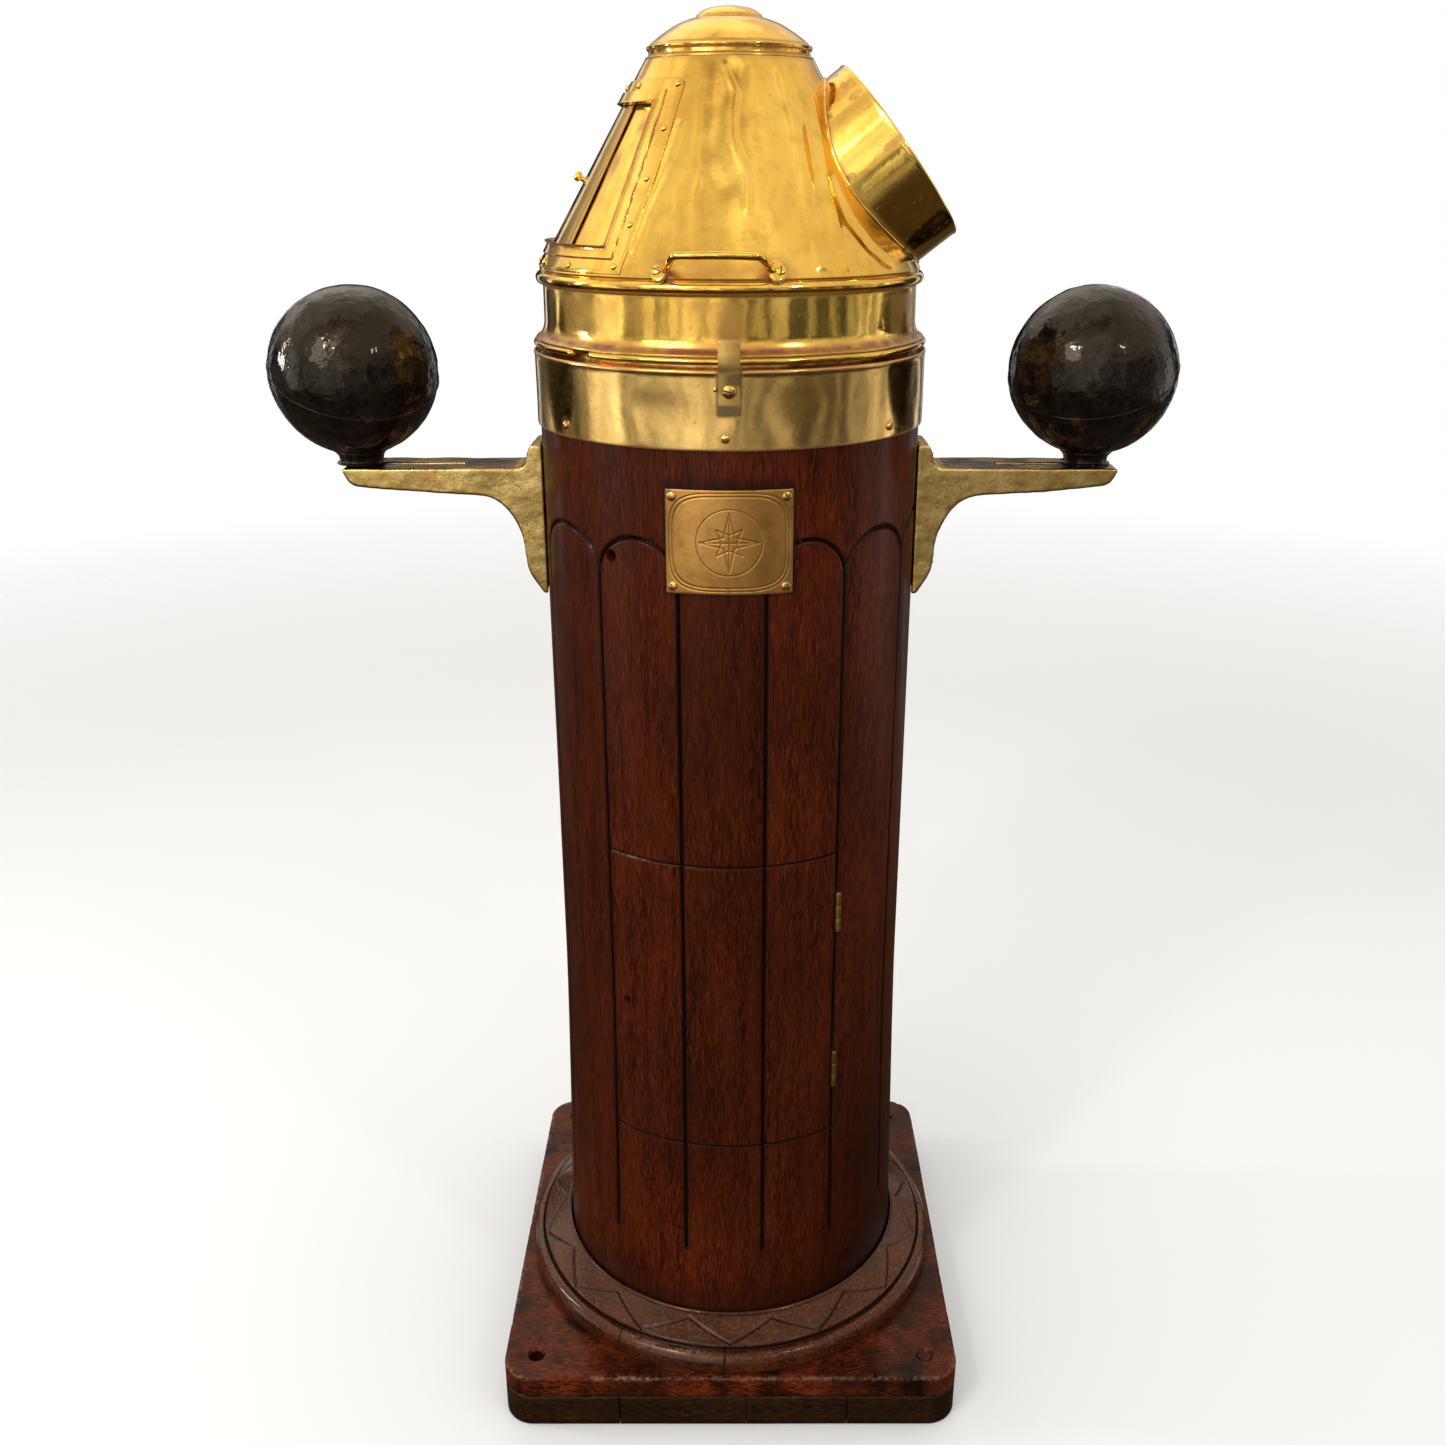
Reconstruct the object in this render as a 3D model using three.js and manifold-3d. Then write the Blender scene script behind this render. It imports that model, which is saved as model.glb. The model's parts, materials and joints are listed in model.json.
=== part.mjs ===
// Ship's binnacle compass: a wooden pillar with a magnet cupboard, a gimballed compass in its top,
// a brass hood with a viewing tube and a shuttered window, and two sliding iron corrector spheres.
// Millimetres, +Z up. The origin is the centre of the plinth's underside, and the door and the
// nameplate face -Y. Angles round the pillar are degrees from -Y, growing towards +X.

import * as THREE from "three";
import { mergeVertices } from "three/addons/utils/BufferGeometryUtils.js";
import Module from "manifold-3d";

const wasm = await Module();
wasm.setup();

// ---------------------------------------------------------------- driving dimensions

const GAP = 0.3; // between pieces that touch
const TURN_SIDES = 44; // sides of the pillar, the hood and what fits them
const BOWL_SIDES = 32; // sides of the compass bowl and what it holds
const SMALL_SIDES = 24; // sides of the card and the bowl's weight

const PLINTH = { side: 460, corner: 30, lower: 36, top: 60, hole: 198, holeR: 7 };
const RING = { bottomR: 223.7, topR: 182.5, boreR: 181.2, top: 99 };
const PILLAR = { r: 172.5, footR: 180, flareR: 176, flareZ: 243, boreR: 150, top: 1030 };
const DOOR = { left: -41, right: 35.3, bottom: 298, top: 601, gap: 0.8, backR: 151 };
const HINGE = { r: 3.2, pinR: 1.1, axisR: 175, length: 40, leaf: 13, heights: [367, 540.5] };
const LOCK = { angle: -35, z: 445, keyR: 3.5 };
const BAND = { r: 175.8, inner: 173.2, bottom: 977, top: 1041 };
const PLATE = { width: 108, bottom: 857, top: 945, thick: 1.5 };
const CHAMBER = { flangeR: 172.4, boreR: 138, collarR: 160.5, collarTop: 1076 };
const ARM = { top: 935, tip: 355, width: 58.5, legX: 190.5, flangeTop: 955, flangeBottom: 818 };
const SLOT = { start: 246, end: 349, half: 5.6 };
const SPHERE = { r: 76, z: 1018, left: -342, right: 330, neckR: 20, boltR: 4.8 };
const HOOD = {
  sheet: 2.5,
  footR: 173,
  footZ: 1050.6,
  skirtR: 165,
  rimR: 171,
  rimZ: 1102,
  coneR: 167.6,
  coneZ: 1109.5,
  topR: 72,
  topZ: 1274.5,
};
const BEAD = { r: 172.4, wire: 3, z: 1047.3, gapAngle: -45, gap: 19 };
const TUBE = { r: 84, wall: 2.5, face: [147, 0, 1205], tilt: 37.5, length: 75 };
const WINDOW = {
  centre: -90,
  half: 51,
  bottom: 1129,
  top: 1239,
  frameHalf: 61,
  frameBottom: 1111,
  frameTop: 1258,
};
const SHUTTER = { bottom: 1124, top: 1244, outer: [-57, -123], inner: [-37.2, -104] };
const HANDLE = { span: 93, z: 1114, angle: -3, rod: 3.2, standOff: 27, padR: 9 };
const CATCH = { width: 19, thick: 2.4, bottom: 1005, top: 1064, screwZ: 1025, screwR: 5.75 };
const GIMBAL = { z: 1046, ringR: 126, ringBore: 117, half: 7, pinR: 4 };
const BOWL = { r: 106, inner: 102, glassR: 104, rimZ: 1056 };
const CARD = { r: 92, z: 1040 };
const CUPBOARD = { floor: 284, ceiling: 604, shelves: [396, 500], board: 12, boardR: 149.2 };
const CHAMBER_SHELF = { z: 905, board: 12 };
const HEELING = { tubeR: 22, bore: 19, bottom: 560, bucketR: 16, bucketBottom: 690, bucketTop: 770 };
const MAGNET = { r: 4.5, half: 100, spread: 40 };

const ENDS = { front: 0, rear: 180 };

// ---------------------------------------------------------------- finishes

const finish = (color, roughness, metalness) => () =>
  new THREE.MeshStandardMaterial({ color, roughness, metalness });
const FINISH = {
  pillarWood: finish(0x4a1c10, 0.35, 0),
  ringWood: finish(0x3d1a10, 0.3, 0),
  plinthWood: finish(0x4f1710, 0.35, 0),
  innerWood: finish(0x6b4226, 0.6, 0),
  hoodBrass: finish(0xc8923a, 0.22, 1),
  bandBrass: finish(0xb8923f, 0.25, 1),
  plateBrass: finish(0xa87840, 0.35, 1),
  castBrass: finish(0x9a8040, 0.55, 1),
  blackIron: finish(0x0c0b0a, 0.3, 0.2),
  steel: finish(0x7d8084, 0.4, 1),
  lead: finish(0x55575a, 0.6, 0.6),
  glass: finish(0xcfe0dc, 0.05, 0),
  cardPaper: finish(0xe8e2cf, 0.7, 0),
};

// ---------------------------------------------------------------- solid helpers

const rad = THREE.MathUtils.degToRad;
const roundAt = (angle, r) => [r * Math.sin(rad(angle)), -r * Math.cos(rad(angle))];

// three.js geometry to a manifold solid, with shared corners merged.
function solid(geometry) {
  const flat = geometry.index ? geometry.toNonIndexed() : geometry.clone();
  for (const name of Object.keys(flat.attributes)) {
    if (name !== "position") flat.deleteAttribute(name);
  }
  const merged = mergeVertices(flat, 1e-3);
  const index = [];
  for (let i = 0; i < merged.index.count; i += 3) {
    const [a, b, c] = [0, 1, 2].map((k) => merged.index.getX(i + k));
    if (a !== b && b !== c && c !== a) index.push(a, b, c);
  }
  const mesh = new wasm.Mesh({
    numProp: 3,
    vertProperties: new Float32Array(merged.attributes.position.array),
    triVerts: new Uint32Array(index),
  });
  return new wasm.Manifold(mesh);
}

function geometryOf(body) {
  const { numProp, vertProperties, triVerts } = body.getMesh();
  const positions = [];
  for (let i = 0; i < vertProperties.length; i += numProp) {
    positions.push(vertProperties[i], vertProperties[i + 1], vertProperties[i + 2]);
  }
  const geometry = new THREE.BufferGeometry();
  geometry.setAttribute("position", new THREE.Float32BufferAttribute(positions, 3));
  geometry.setIndex([...triVerts]);
  geometry.computeVertexNormals();
  return geometry;
}

// A profile of [radius, height] points, in order round the section, turned about the Z axis.
function turned(points, sides = TURN_SIDES) {
  const section = points.map(([r, z]) => new THREE.Vector2(r, z));
  section.push(section[0].clone());
  const lathe = (outline) => solid(new THREE.LatheGeometry(outline, sides).rotateX(Math.PI / 2));
  const body = lathe(section);
  return body.volume() < 0 ? lathe(section.reverse()) : body;
}

const tube = (outer, inner, bottom, top, sides) =>
  turned([[inner, bottom], [outer, bottom], [outer, top], [inner, top]], sides);

const rod = (r, bottom, top, sides = 16) =>
  solid(new THREE.CylinderGeometry(r, r, top - bottom, sides).rotateX(Math.PI / 2))
    .translate([0, 0, (top + bottom) / 2]);

const block = (low, high) =>
  solid(new THREE.BoxGeometry(...high.map((v, i) => v - low[i])))
    .translate(high.map((v, i) => (v + low[i]) / 2));

const extruded = (points, depth) => {
  const shape = new THREE.Shape(points.map(([x, y]) => new THREE.Vector2(x, y)));
  return solid(new THREE.ExtrudeGeometry(shape, { depth, bevelEnabled: false, curveSegments: 6 }));
};

// The wedge between two angles round the pillar, from one height to another.
function wedge(from, to, bottom, top, reach = 400) {
  const steps = Math.max(2, Math.ceil(Math.abs(to - from) / 30));
  const arc = Array.from({ length: steps + 1 }, (_, i) => roundAt(from + ((to - from) * i) / steps, reach));
  return extruded([[0, 0], ...arc], top - bottom).translate([0, 0, bottom]);
}

const sector = (body, from, to, bottom, top) => body.intersect(wedge(from, to, bottom, top));

// A solid built with its front at -Y, turned to an angle round the pillar.
const atAngle = (body, angle) => body.rotate([0, 0, angle]);

// A round rod swept along a smooth curve through the given points.
function bent(points, r, steps, sides = 8) {
  const path = new THREE.CatmullRomCurve3(points.map((p) => new THREE.Vector3(...p)));
  const ring = Array.from({ length: sides }, (_, i) => {
    const turn = (i / sides) * 2 * Math.PI;
    return new THREE.Vector2(r * Math.cos(turn), r * Math.sin(turn));
  });
  const options = { steps, extrudePath: path, bevelEnabled: false };
  return solid(new THREE.ExtrudeGeometry(new THREE.Shape(ring), options));
}

const binnacle = new THREE.Group();

function add(name, body, finishOf, position = [0, 0, 0]) {
  const mesh = new THREE.Mesh(geometryOf(body), finishOf());
  mesh.name = name;
  mesh.position.set(...position);
  binnacle.add(mesh);
}

// ---------------------------------------------------------------- plinth and foot ring

function plinthBoard(bottom, top) {
  const half = PLINTH.side / 2;
  const shape = new THREE.Shape();
  const inset = half - PLINTH.corner;
  shape.absarc(inset, inset, PLINTH.corner, 0, Math.PI / 2);
  shape.absarc(-inset, inset, PLINTH.corner, Math.PI / 2, Math.PI);
  shape.absarc(-inset, -inset, PLINTH.corner, Math.PI, 1.5 * Math.PI);
  shape.absarc(inset, -inset, PLINTH.corner, 1.5 * Math.PI, 2 * Math.PI);
  const options = { depth: top - bottom, bevelEnabled: false, curveSegments: 4 };
  let board = solid(new THREE.ExtrudeGeometry(shape, options)).translate([0, 0, bottom]);
  for (const x of [-PLINTH.hole, PLINTH.hole]) {
    for (const y of [-PLINTH.hole, PLINTH.hole]) {
      board = board.subtract(rod(PLINTH.holeR, bottom - 1, top + 1, 10).translate([x, y, 0]));
    }
  }
  return board;
}

add("plinth_lower", plinthBoard(0, PLINTH.lower), FINISH.plinthWood);
add("plinth_upper", plinthBoard(PLINTH.lower + GAP, PLINTH.top), FINISH.plinthWood);

const footRing = turned([
  [RING.boreR, PLINTH.top + GAP],
  [RING.bottomR, PLINTH.top + GAP],
  [RING.bottomR, 74],
  [RING.bottomR - 6, 80],
  [RING.topR, RING.top],
  [RING.boreR, RING.top],
]);
add("foot_ring", footRing, FINISH.ringWood);

// ---------------------------------------------------------------- pillar, door and cupboard

const pillarFoot = PLINTH.top + GAP;
const pillarShell = turned([
  [PILLAR.boreR, pillarFoot],
  [PILLAR.footR, pillarFoot],
  [PILLAR.flareR, PILLAR.flareZ],
  [PILLAR.r + 1.2, PILLAR.flareZ + 95],
  [PILLAR.r, PILLAR.flareZ + 190],
  [PILLAR.r, PILLAR.top],
  [PILLAR.boreR, PILLAR.top],
]);

const hingeAxis = roundAt(DOOR.right, HINGE.axisR);

// A hinge part drawn at the origin: +X runs along the wall towards larger angles, +Y inwards.
const atHinge = (body, z) => body.rotate([0, 0, DOOR.right]).translate([...hingeAxis, z]);

function hingePocket(z) {
  const half = HINGE.length / 2 + GAP;
  const barrel = rod(HINGE.r + 0.5, -half, half, 12);
  const leaves = block([-1.9, -1, -half], [1.9, HINGE.leaf + 0.5, half]);
  return atHinge(barrel.add(leaves), z);
}

const keyHole = atAngle(
  rod(LOCK.keyR, 100, 200, 12).rotate([90, 0, 0]).translate([0, 0, LOCK.z]),
  LOCK.angle,
);
const cupboardHole = wedge(DOOR.left, DOOR.right, DOOR.bottom, DOOR.top);
const doorBlank = turned([
  [DOOR.backR, DOOR.bottom + DOOR.gap],
  [PILLAR.r + 2.1, DOOR.bottom + DOOR.gap],
  [PILLAR.r + 1.2, PILLAR.flareZ + 95],
  [PILLAR.r, PILLAR.flareZ + 190],
  [PILLAR.r, DOOR.top - DOOR.gap],
  [DOOR.backR, DOOR.top - DOOR.gap],
]);
const doorTurn = (DOOR.gap / PILLAR.r) * (180 / Math.PI);

let pillar = pillarShell.subtract(cupboardHole);
let door = doorBlank.intersect(
  wedge(DOOR.left + doorTurn, DOOR.right - doorTurn, DOOR.bottom, DOOR.top),
);
for (const z of HINGE.heights) {
  pillar = pillar.subtract(hingePocket(z));
  door = door.subtract(hingePocket(z));
}
add("pillar", pillar, FINISH.pillarWood);
add("access_door", door.subtract(keyHole), FINISH.pillarWood);

function hingeHalves() {
  const half = HINGE.length / 2;
  const third = half / 3;
  const bore = rod(HINGE.pinR + 0.35, -half, half, 12);
  const pin = rod(HINGE.pinR, -half, half, 12);
  const ends = rod(HINGE.r, -half, -third, 12).add(rod(HINGE.r, third, half, 12));
  const middle = rod(HINGE.r, -third + 0.3, third - 0.3, 12);
  const clear = rod(HINGE.r + 0.4, -third, third, 12);
  const leaf = block([0.35, 0, -half], [1.55, HINGE.leaf, half]).subtract(clear);
  const doorLeaf = block([-1.55, 0, -half], [-0.35, HINGE.leaf, half]);
  const doorClear = rod(HINGE.r + 0.4, -half - 1, -third + 0.3, 12)
    .add(rod(HINGE.r + 0.4, third - 0.3, half + 1, 12));
  return {
    fixed: ends.add(pin).add(leaf),
    swinging: middle.subtract(bore).add(doorLeaf.subtract(doorClear).subtract(bore)),
  };
}

["lower", "upper"].forEach((level, i) => {
  const { fixed, swinging } = hingeHalves();
  add(`door_hinge_${level}`, atHinge(fixed, HINGE.heights[i]), FINISH.castBrass);
  add(`door_hinge_leaf_${level}`, atHinge(swinging, HINGE.heights[i]), FINISH.castBrass);
});

// The lock sits on the door's back, with its bolt drawn in clear of the pillar's edge.
function lockParts() {
  const face = -(DOOR.backR - 1.2);
  const [halfWidth, depth, halfHeight] = [11, 12, 24];
  const channel = block([-halfWidth - 1, face + 3, -6.5], [halfWidth - 4, face + 9, 6.5]);
  const box = block([-halfWidth, face, -halfHeight], [halfWidth, face + depth, halfHeight]);
  const bolt = block([-halfWidth + 0.5, face + 3.4, -6.1], [halfWidth - 12, face + 8.6, 6.1]);
  const place = (body) => atAngle(body.translate([0, 0, LOCK.z]), LOCK.angle);
  return { box: place(box.subtract(channel)), bolt: place(bolt) };
}

const lock = lockParts();
add("lock_case", lock.box, FINISH.castBrass);
add("lock_bolt", lock.bolt, FINISH.castBrass);

const boardAt = (z) => rod(CUPBOARD.boardR, z, z + CUPBOARD.board, BOWL_SIDES);

add("cupboard_floor", boardAt(CUPBOARD.floor), FINISH.innerWood);
const ceilingHole = rod(HEELING.tubeR + 1, CUPBOARD.ceiling - 1, CHAMBER_SHELF.z, 16);
add("cupboard_ceiling", boardAt(CUPBOARD.ceiling).subtract(ceilingHole), FINISH.innerWood);
add("chamber_shelf", boardAt(CHAMBER_SHELF.z), FINISH.innerWood);

// Corrector magnets lie in pairs: athwartships on one shelf, fore and aft on the other.
const magnetRod = rod(MAGNET.r, -MAGNET.half, MAGNET.half, 10);
["lower", "upper"].forEach((level, i) => {
  const z = CUPBOARD.shelves[i];
  add(`magnet_shelf_${level}`, boardAt(z), FINISH.innerWood);
  [-1, 1].forEach((side, k) => {
    const across = i === 0;
    const lying = magnetRod.rotate(across ? [0, 90, 0] : [90, 0, 0]);
    const [x, y] = across ? [0, side * MAGNET.spread] : [side * MAGNET.spread, 0];
    const place = [x, y + 10, z + CUPBOARD.board + MAGNET.r + GAP];
    add(`corrector_magnet_${level}_${k + 1}`, lying.translate(place), FINISH.steel);
  });
});

const shelfUnderside = CHAMBER_SHELF.z - GAP;
const heelingTube = tube(HEELING.tubeR, HEELING.bore, HEELING.bottom, shelfUnderside, 16);
add("heeling_tube", heelingTube, FINISH.bandBrass);
const bucket = rod(HEELING.bucketR, HEELING.bucketBottom, HEELING.bucketTop)
  .subtract(rod(HEELING.bucketR - 1.5, HEELING.bucketBottom + 3, HEELING.bucketTop + 1));
add("heeling_bucket", bucket, FINISH.bandBrass);

// ---------------------------------------------------------------- nameplate and band

const plateHalf = ((PLATE.width / 2 / PILLAR.r) * 180) / Math.PI;
const plateRing = tube(PILLAR.r + GAP + PLATE.thick, PILLAR.r + GAP, PLATE.bottom, PLATE.top);
const nameplate = sector(plateRing, -plateHalf, plateHalf, PLATE.bottom - 1, PLATE.top + 1);
add("nameplate", nameplate, FINISH.plateBrass);
add("lower_band", tube(BAND.r, BAND.inner, BAND.bottom, BAND.top), FINISH.bandBrass);

// ---------------------------------------------------------------- brackets and spheres

// The casting's side view in the XZ plane, drawn for the +X side.
const armSection = [
  [168, ARM.flangeBottom + 12],
  [172, ARM.flangeBottom],
  [184, ARM.flangeBottom],
  [189.5, ARM.flangeBottom + 10],
  [191, 845],
  [194, 872],
  [203, 893],
  [218, 905],
  [245, 911],
  [300, 915],
  [338, 918],
  [ARM.tip - 5, 923],
  [ARM.tip - 1, 929],
  [ARM.tip, ARM.top],
  [203, ARM.top],
  [196, ARM.top + 5],
  [194, ARM.flangeTop - 4],
  [189, ARM.flangeTop],
  [168, ARM.flangeTop],
];

function bracket() {
  const upright = extruded(armSection, ARM.width).rotate([90, 0, 0]).translate([0, ARM.width / 2, 0]);
  const seat = rod(PILLAR.r + GAP, 700, 1000, TURN_SIDES);
  const web = 7.5;
  const inside = ARM.width / 2 - web;
  const hollow = block([ARM.legX + 3.5, -inside, 800], [ARM.tip + 5, inside, ARM.top - 9]);
  const slot = block([SLOT.start, -SLOT.half, 900], [SLOT.end, SLOT.half, ARM.top + 1]);
  return upright.subtract(seat).subtract(hollow).subtract(slot);
}

// One cap nut below the arm and its shank clamp a sphere's neck down on the slot.
function sphereParts() {
  const foot = ARM.top + GAP;
  const ball = solid(new THREE.SphereGeometry(SPHERE.r, 24, 13).rotateX(Math.PI / 2))
    .translate([0, 0, SPHERE.z]);
  const neck = rod(SPHERE.neckR, foot, SPHERE.z - SPHERE.r + 12, 16);
  const under = ARM.top - 9 - GAP;
  const nut = rod(12, under - 8, under, 6);
  const washer = rod(15, under - 2.5, under, 16);
  const shank = rod(SPHERE.boltR, under - 1, foot - GAP, 12);
  return { ball: ball.add(neck), bolt: nut.add(washer).add(shank) };
}

for (const [side, turn, x] of [["left", 180, SPHERE.left], ["right", 0, SPHERE.right]]) {
  const { ball, bolt } = sphereParts();
  add(`bracket_${side}`, bracket().rotate([0, 0, turn]), FINISH.castBrass);
  add(`corrector_sphere_${side}`, ball, FINISH.blackIron, [x, 0, 0]);
  add(`sphere_bolt_${side}`, bolt, FINISH.steel, [x, 0, 0]);
}

// ---------------------------------------------------------------- compass chamber and gimbals

const flangeBottom = PILLAR.top + GAP;
const flangeTop = flangeBottom + 5;
const chamberRing = turned([
  [CHAMBER.boreR, flangeBottom],
  [CHAMBER.flangeR, flangeBottom],
  [CHAMBER.flangeR, flangeTop],
  [CHAMBER.collarR, flangeTop],
  [CHAMBER.collarR, CHAMBER.collarTop],
  [CHAMBER.collarR - 3, CHAMBER.collarTop],
  [CHAMBER.collarR - 3, flangeTop],
  [CHAMBER.boreR, flangeTop],
]);
add("chamber_ring", chamberRing, FINISH.bandBrass);

const PIN_LENGTH = 24;
const pinAlongY = rod(GIMBAL.pinR, 0, PIN_LENGTH, 12).rotate([90, 0, 0]);

function bearing() {
  const low = flangeTop + GAP;
  const body = block([-12, -153, low], [12, -141, GIMBAL.z + 8]);
  const saddle = rod(GIMBAL.pinR + 0.4, -10, 10, 12).rotate([90, 0, 0]).translate([0, -147, GIMBAL.z]);
  const mouth = block([-GIMBAL.pinR - 0.4, -160, GIMBAL.z], [GIMBAL.pinR + 0.4, -130, GIMBAL.z + 20]);
  return body.subtract(saddle).subtract(mouth);
}

for (const [end, angle] of Object.entries(ENDS)) {
  add(`gimbal_bearing_${end}`, atAngle(bearing(), angle), FINISH.castBrass);
}

// The gimbal ring carries its own fore-and-aft pins, and open seats athwartships for the bowl's.
let gimbalRing = tube(GIMBAL.ringR, GIMBAL.ringBore, GIMBAL.z - GIMBAL.half, GIMBAL.z + GIMBAL.half);
for (const angle of Object.values(ENDS)) {
  const pin = pinAlongY.translate([0, -(GIMBAL.ringR - 3), GIMBAL.z]);
  gimbalRing = gimbalRing.add(atAngle(pin, angle));
}
for (const angle of [90, -90]) {
  const seat = rod(GIMBAL.pinR + 0.4, -20, 20, 12).rotate([90, 0, 0]).translate([0, -121, GIMBAL.z]);
  const mouth = block([-GIMBAL.pinR - 0.4, -140, GIMBAL.z], [GIMBAL.pinR + 0.4, -105, GIMBAL.z + 20]);
  gimbalRing = gimbalRing.subtract(atAngle(seat.add(mouth), angle));
}
add("gimbal_ring", gimbalRing, FINISH.bandBrass);

// ---------------------------------------------------------------- compass bowl and card

const bowlOuter = [[0, -68], [40, -64], [84, -45], [BOWL.r, -8]];
const bowlInner = [[BOWL.inner, -8], [81, -41.5], [39, -60], [0, -63.5]];
const ledgeTop = BOWL.rimZ - GIMBAL.z;
let bowl = turned([...bowlOuter, [BOWL.r, ledgeTop], [BOWL.inner, ledgeTop], ...bowlInner], BOWL_SIDES)
  .translate([0, 0, GIMBAL.z]);
for (const angle of [90, -90]) {
  bowl = bowl.add(atAngle(pinAlongY.translate([0, -(BOWL.r - 2), GIMBAL.z]), angle));
}
add("compass_bowl", bowl, FINISH.bandBrass);

const glassBottom = BOWL.rimZ + GAP;
const glassTop = glassBottom + 3;
add("bowl_glass", rod(BOWL.glassR, glassBottom, glassTop, BOWL_SIDES), FINISH.glass);
const bezel = turned([
  [BOWL.glassR + 0.5, glassBottom],
  [BOWL.r + 2, glassBottom],
  [BOWL.r + 2, glassTop + 3],
  [96, glassTop + 3],
  [96, glassTop + GAP],
  [BOWL.glassR + 0.5, glassTop + GAP],
], BOWL_SIDES);
add("bowl_bezel", bezel, FINISH.bandBrass);
const weight = turned([[14, -87], [60, -80], [60, -56.2], [40, -64.6], [14, -67.4]], SMALL_SIDES);
add("bowl_weight", weight.translate([0, 0, GIMBAL.z]), FINISH.lead);
const pivotFoot = GIMBAL.z - 62.6;
const pivotPin = turned([
  [0, pivotFoot],
  [7, pivotFoot],
  [2.2, pivotFoot + 8],
  [2.2, CARD.z - 8],
  [0, CARD.z - 2],
], 12);
add("pivot_pin", pivotPin, FINISH.steel);

add("compass_card", tube(CARD.r, 11, CARD.z, CARD.z + 0.8, SMALL_SIDES), FINISH.cardPaper);
const float = turned([
  [0, CARD.z + 7],
  [5, CARD.z + 5.5],
  [10.5, CARD.z + 1],
  [10.5, CARD.z - GAP],
  [26, CARD.z - GAP],
  [26, CARD.z - 7],
  [5, CARD.z - 7],
  [4, CARD.z],
  [0, CARD.z + 0.5],
], 16);
add("card_float", float, FINISH.castBrass);
for (const [side, x] of [["left", -32], ["right", 32]]) {
  const needle = rod(3, -60, 60, 10).rotate([90, 0, 0]).translate([x, 0, CARD.z - 3 - GAP]);
  add(`needle_magnet_${side}`, needle, FINISH.steel);
}

// ---------------------------------------------------------------- hood

const coneSlope = (HOOD.coneR - HOOD.topR) / (HOOD.topZ - HOOD.coneZ);
const coneStretch = Math.hypot(1, coneSlope); // radial distance per unit of distance along the normal
const coneRadius = (z) => HOOD.coneR - (z - HOOD.coneZ) * coneSlope;
const coneTilt = Math.atan(coneSlope);

const hoodOutside = [
  [HOOD.footR, HOOD.footZ],
  [HOOD.footR, HOOD.footZ + 1.4],
  [HOOD.skirtR + 1, 1058],
  [HOOD.skirtR, 1062],
  [HOOD.skirtR, HOOD.rimZ - 6],
  [HOOD.rimR, HOOD.rimZ - 3],
  [HOOD.rimR, HOOD.rimZ + 3],
  [HOOD.coneR, HOOD.coneZ],
  [HOOD.topR, HOOD.topZ],
];
const hoodInside = [
  [HOOD.topR - HOOD.sheet * coneStretch, HOOD.topZ],
  [HOOD.coneR - HOOD.sheet * coneStretch, HOOD.coneZ],
  [HOOD.skirtR - HOOD.sheet, HOOD.rimZ],
  [HOOD.skirtR - HOOD.sheet, 1057],
  [HOOD.footR - 3.5, HOOD.footZ],
];

// A conical sheet following the hood's cone, between two distances outside its surface.
function coneSheet(near, far, bottom, top, sides) {
  const at = (z, distance) => [coneRadius(z) + distance * coneStretch, z];
  return turned([at(bottom, near), at(bottom, far), at(top, far), at(top, near)], sides);
}

// Turned pieces that share the viewing tube's axis, measured back from its open face.
const atTube = (body) => body.rotate([0, 90 - TUBE.tilt, 0]).translate(TUBE.face);
const tubeBore = atTube(rod(TUBE.r - TUBE.wall, -TUBE.length - 80, 10, TURN_SIDES));

const windowHole = wedge(
  WINDOW.centre - WINDOW.half - 4,
  WINDOW.centre + WINDOW.half + 4,
  SHUTTER.bottom - 2,
  SHUTTER.top + 2,
);
const hoodTurned = turned([...hoodOutside, ...hoodInside]);
add("hood_shell", hoodTurned.subtract(tubeBore).subtract(windowHole), FINISH.hoodBrass);

const cap = turned([
  [HOOD.topR, HOOD.topZ + GAP],
  [68.5, 1277.5],
  [68.5, 1281],
  [69.8, 1282.5],
  [69.8, 1285.4],
  [60.5, 1291.5],
  [50.8, 1299],
  [33, 1306.5],
  [27.4, 1307.5],
  [24, 1312.5],
  [12, 1315.8],
  [0, 1316.5],
  [0, 1313.5],
  [24, 1306.5],
  [41, 1300.2],
  [64, 1284],
  [66, HOOD.topZ + GAP],
], 28);
add("hood_cap", cap, FINISH.hoodBrass);

const hoodMass = turned([
  [0, HOOD.footZ],
  ...hoodOutside.map(([r, z]) => [r + GAP * coneStretch, z]),
  [0, HOOD.topZ],
]);
const viewingTube = atTube(tube(TUBE.r, TUBE.r - TUBE.wall, -TUBE.length, 0)).subtract(hoodMass);
add("viewing_tube", viewingTube, FINISH.hoodBrass);
const glassTopFace = -22;
const paneR = TUBE.r - TUBE.wall - 0.4;
const pane = atTube(rod(paneR, glassTopFace - 3, glassTopFace, TURN_SIDES));
add("tube_glass", pane.subtract(hoodMass), FINISH.glass);
const ringBack = glassTopFace + GAP;
const holdRing = tube(paneR, paneR - 5.6, ringBack, ringBack + 4, TURN_SIDES / 2);
add("tube_glass_ring", atTube(holdRing), FINISH.hoodBrass);

const windowOpening = wedge(
  WINDOW.centre - WINDOW.half,
  WINDOW.centre + WINDOW.half,
  WINDOW.bottom,
  WINDOW.top,
);
const frameSheet = coneSheet(GAP, 2, WINDOW.frameBottom, WINDOW.frameTop);
const frameFrom = WINDOW.centre - WINDOW.frameHalf;
const frameTo = WINDOW.centre + WINDOW.frameHalf;
const shutterFrame = sector(frameSheet, frameFrom, frameTo, WINDOW.frameBottom - 1, WINDOW.frameTop + 1);
add("shutter_frame", shutterFrame.subtract(windowOpening), FINISH.hoodBrass);

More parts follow.
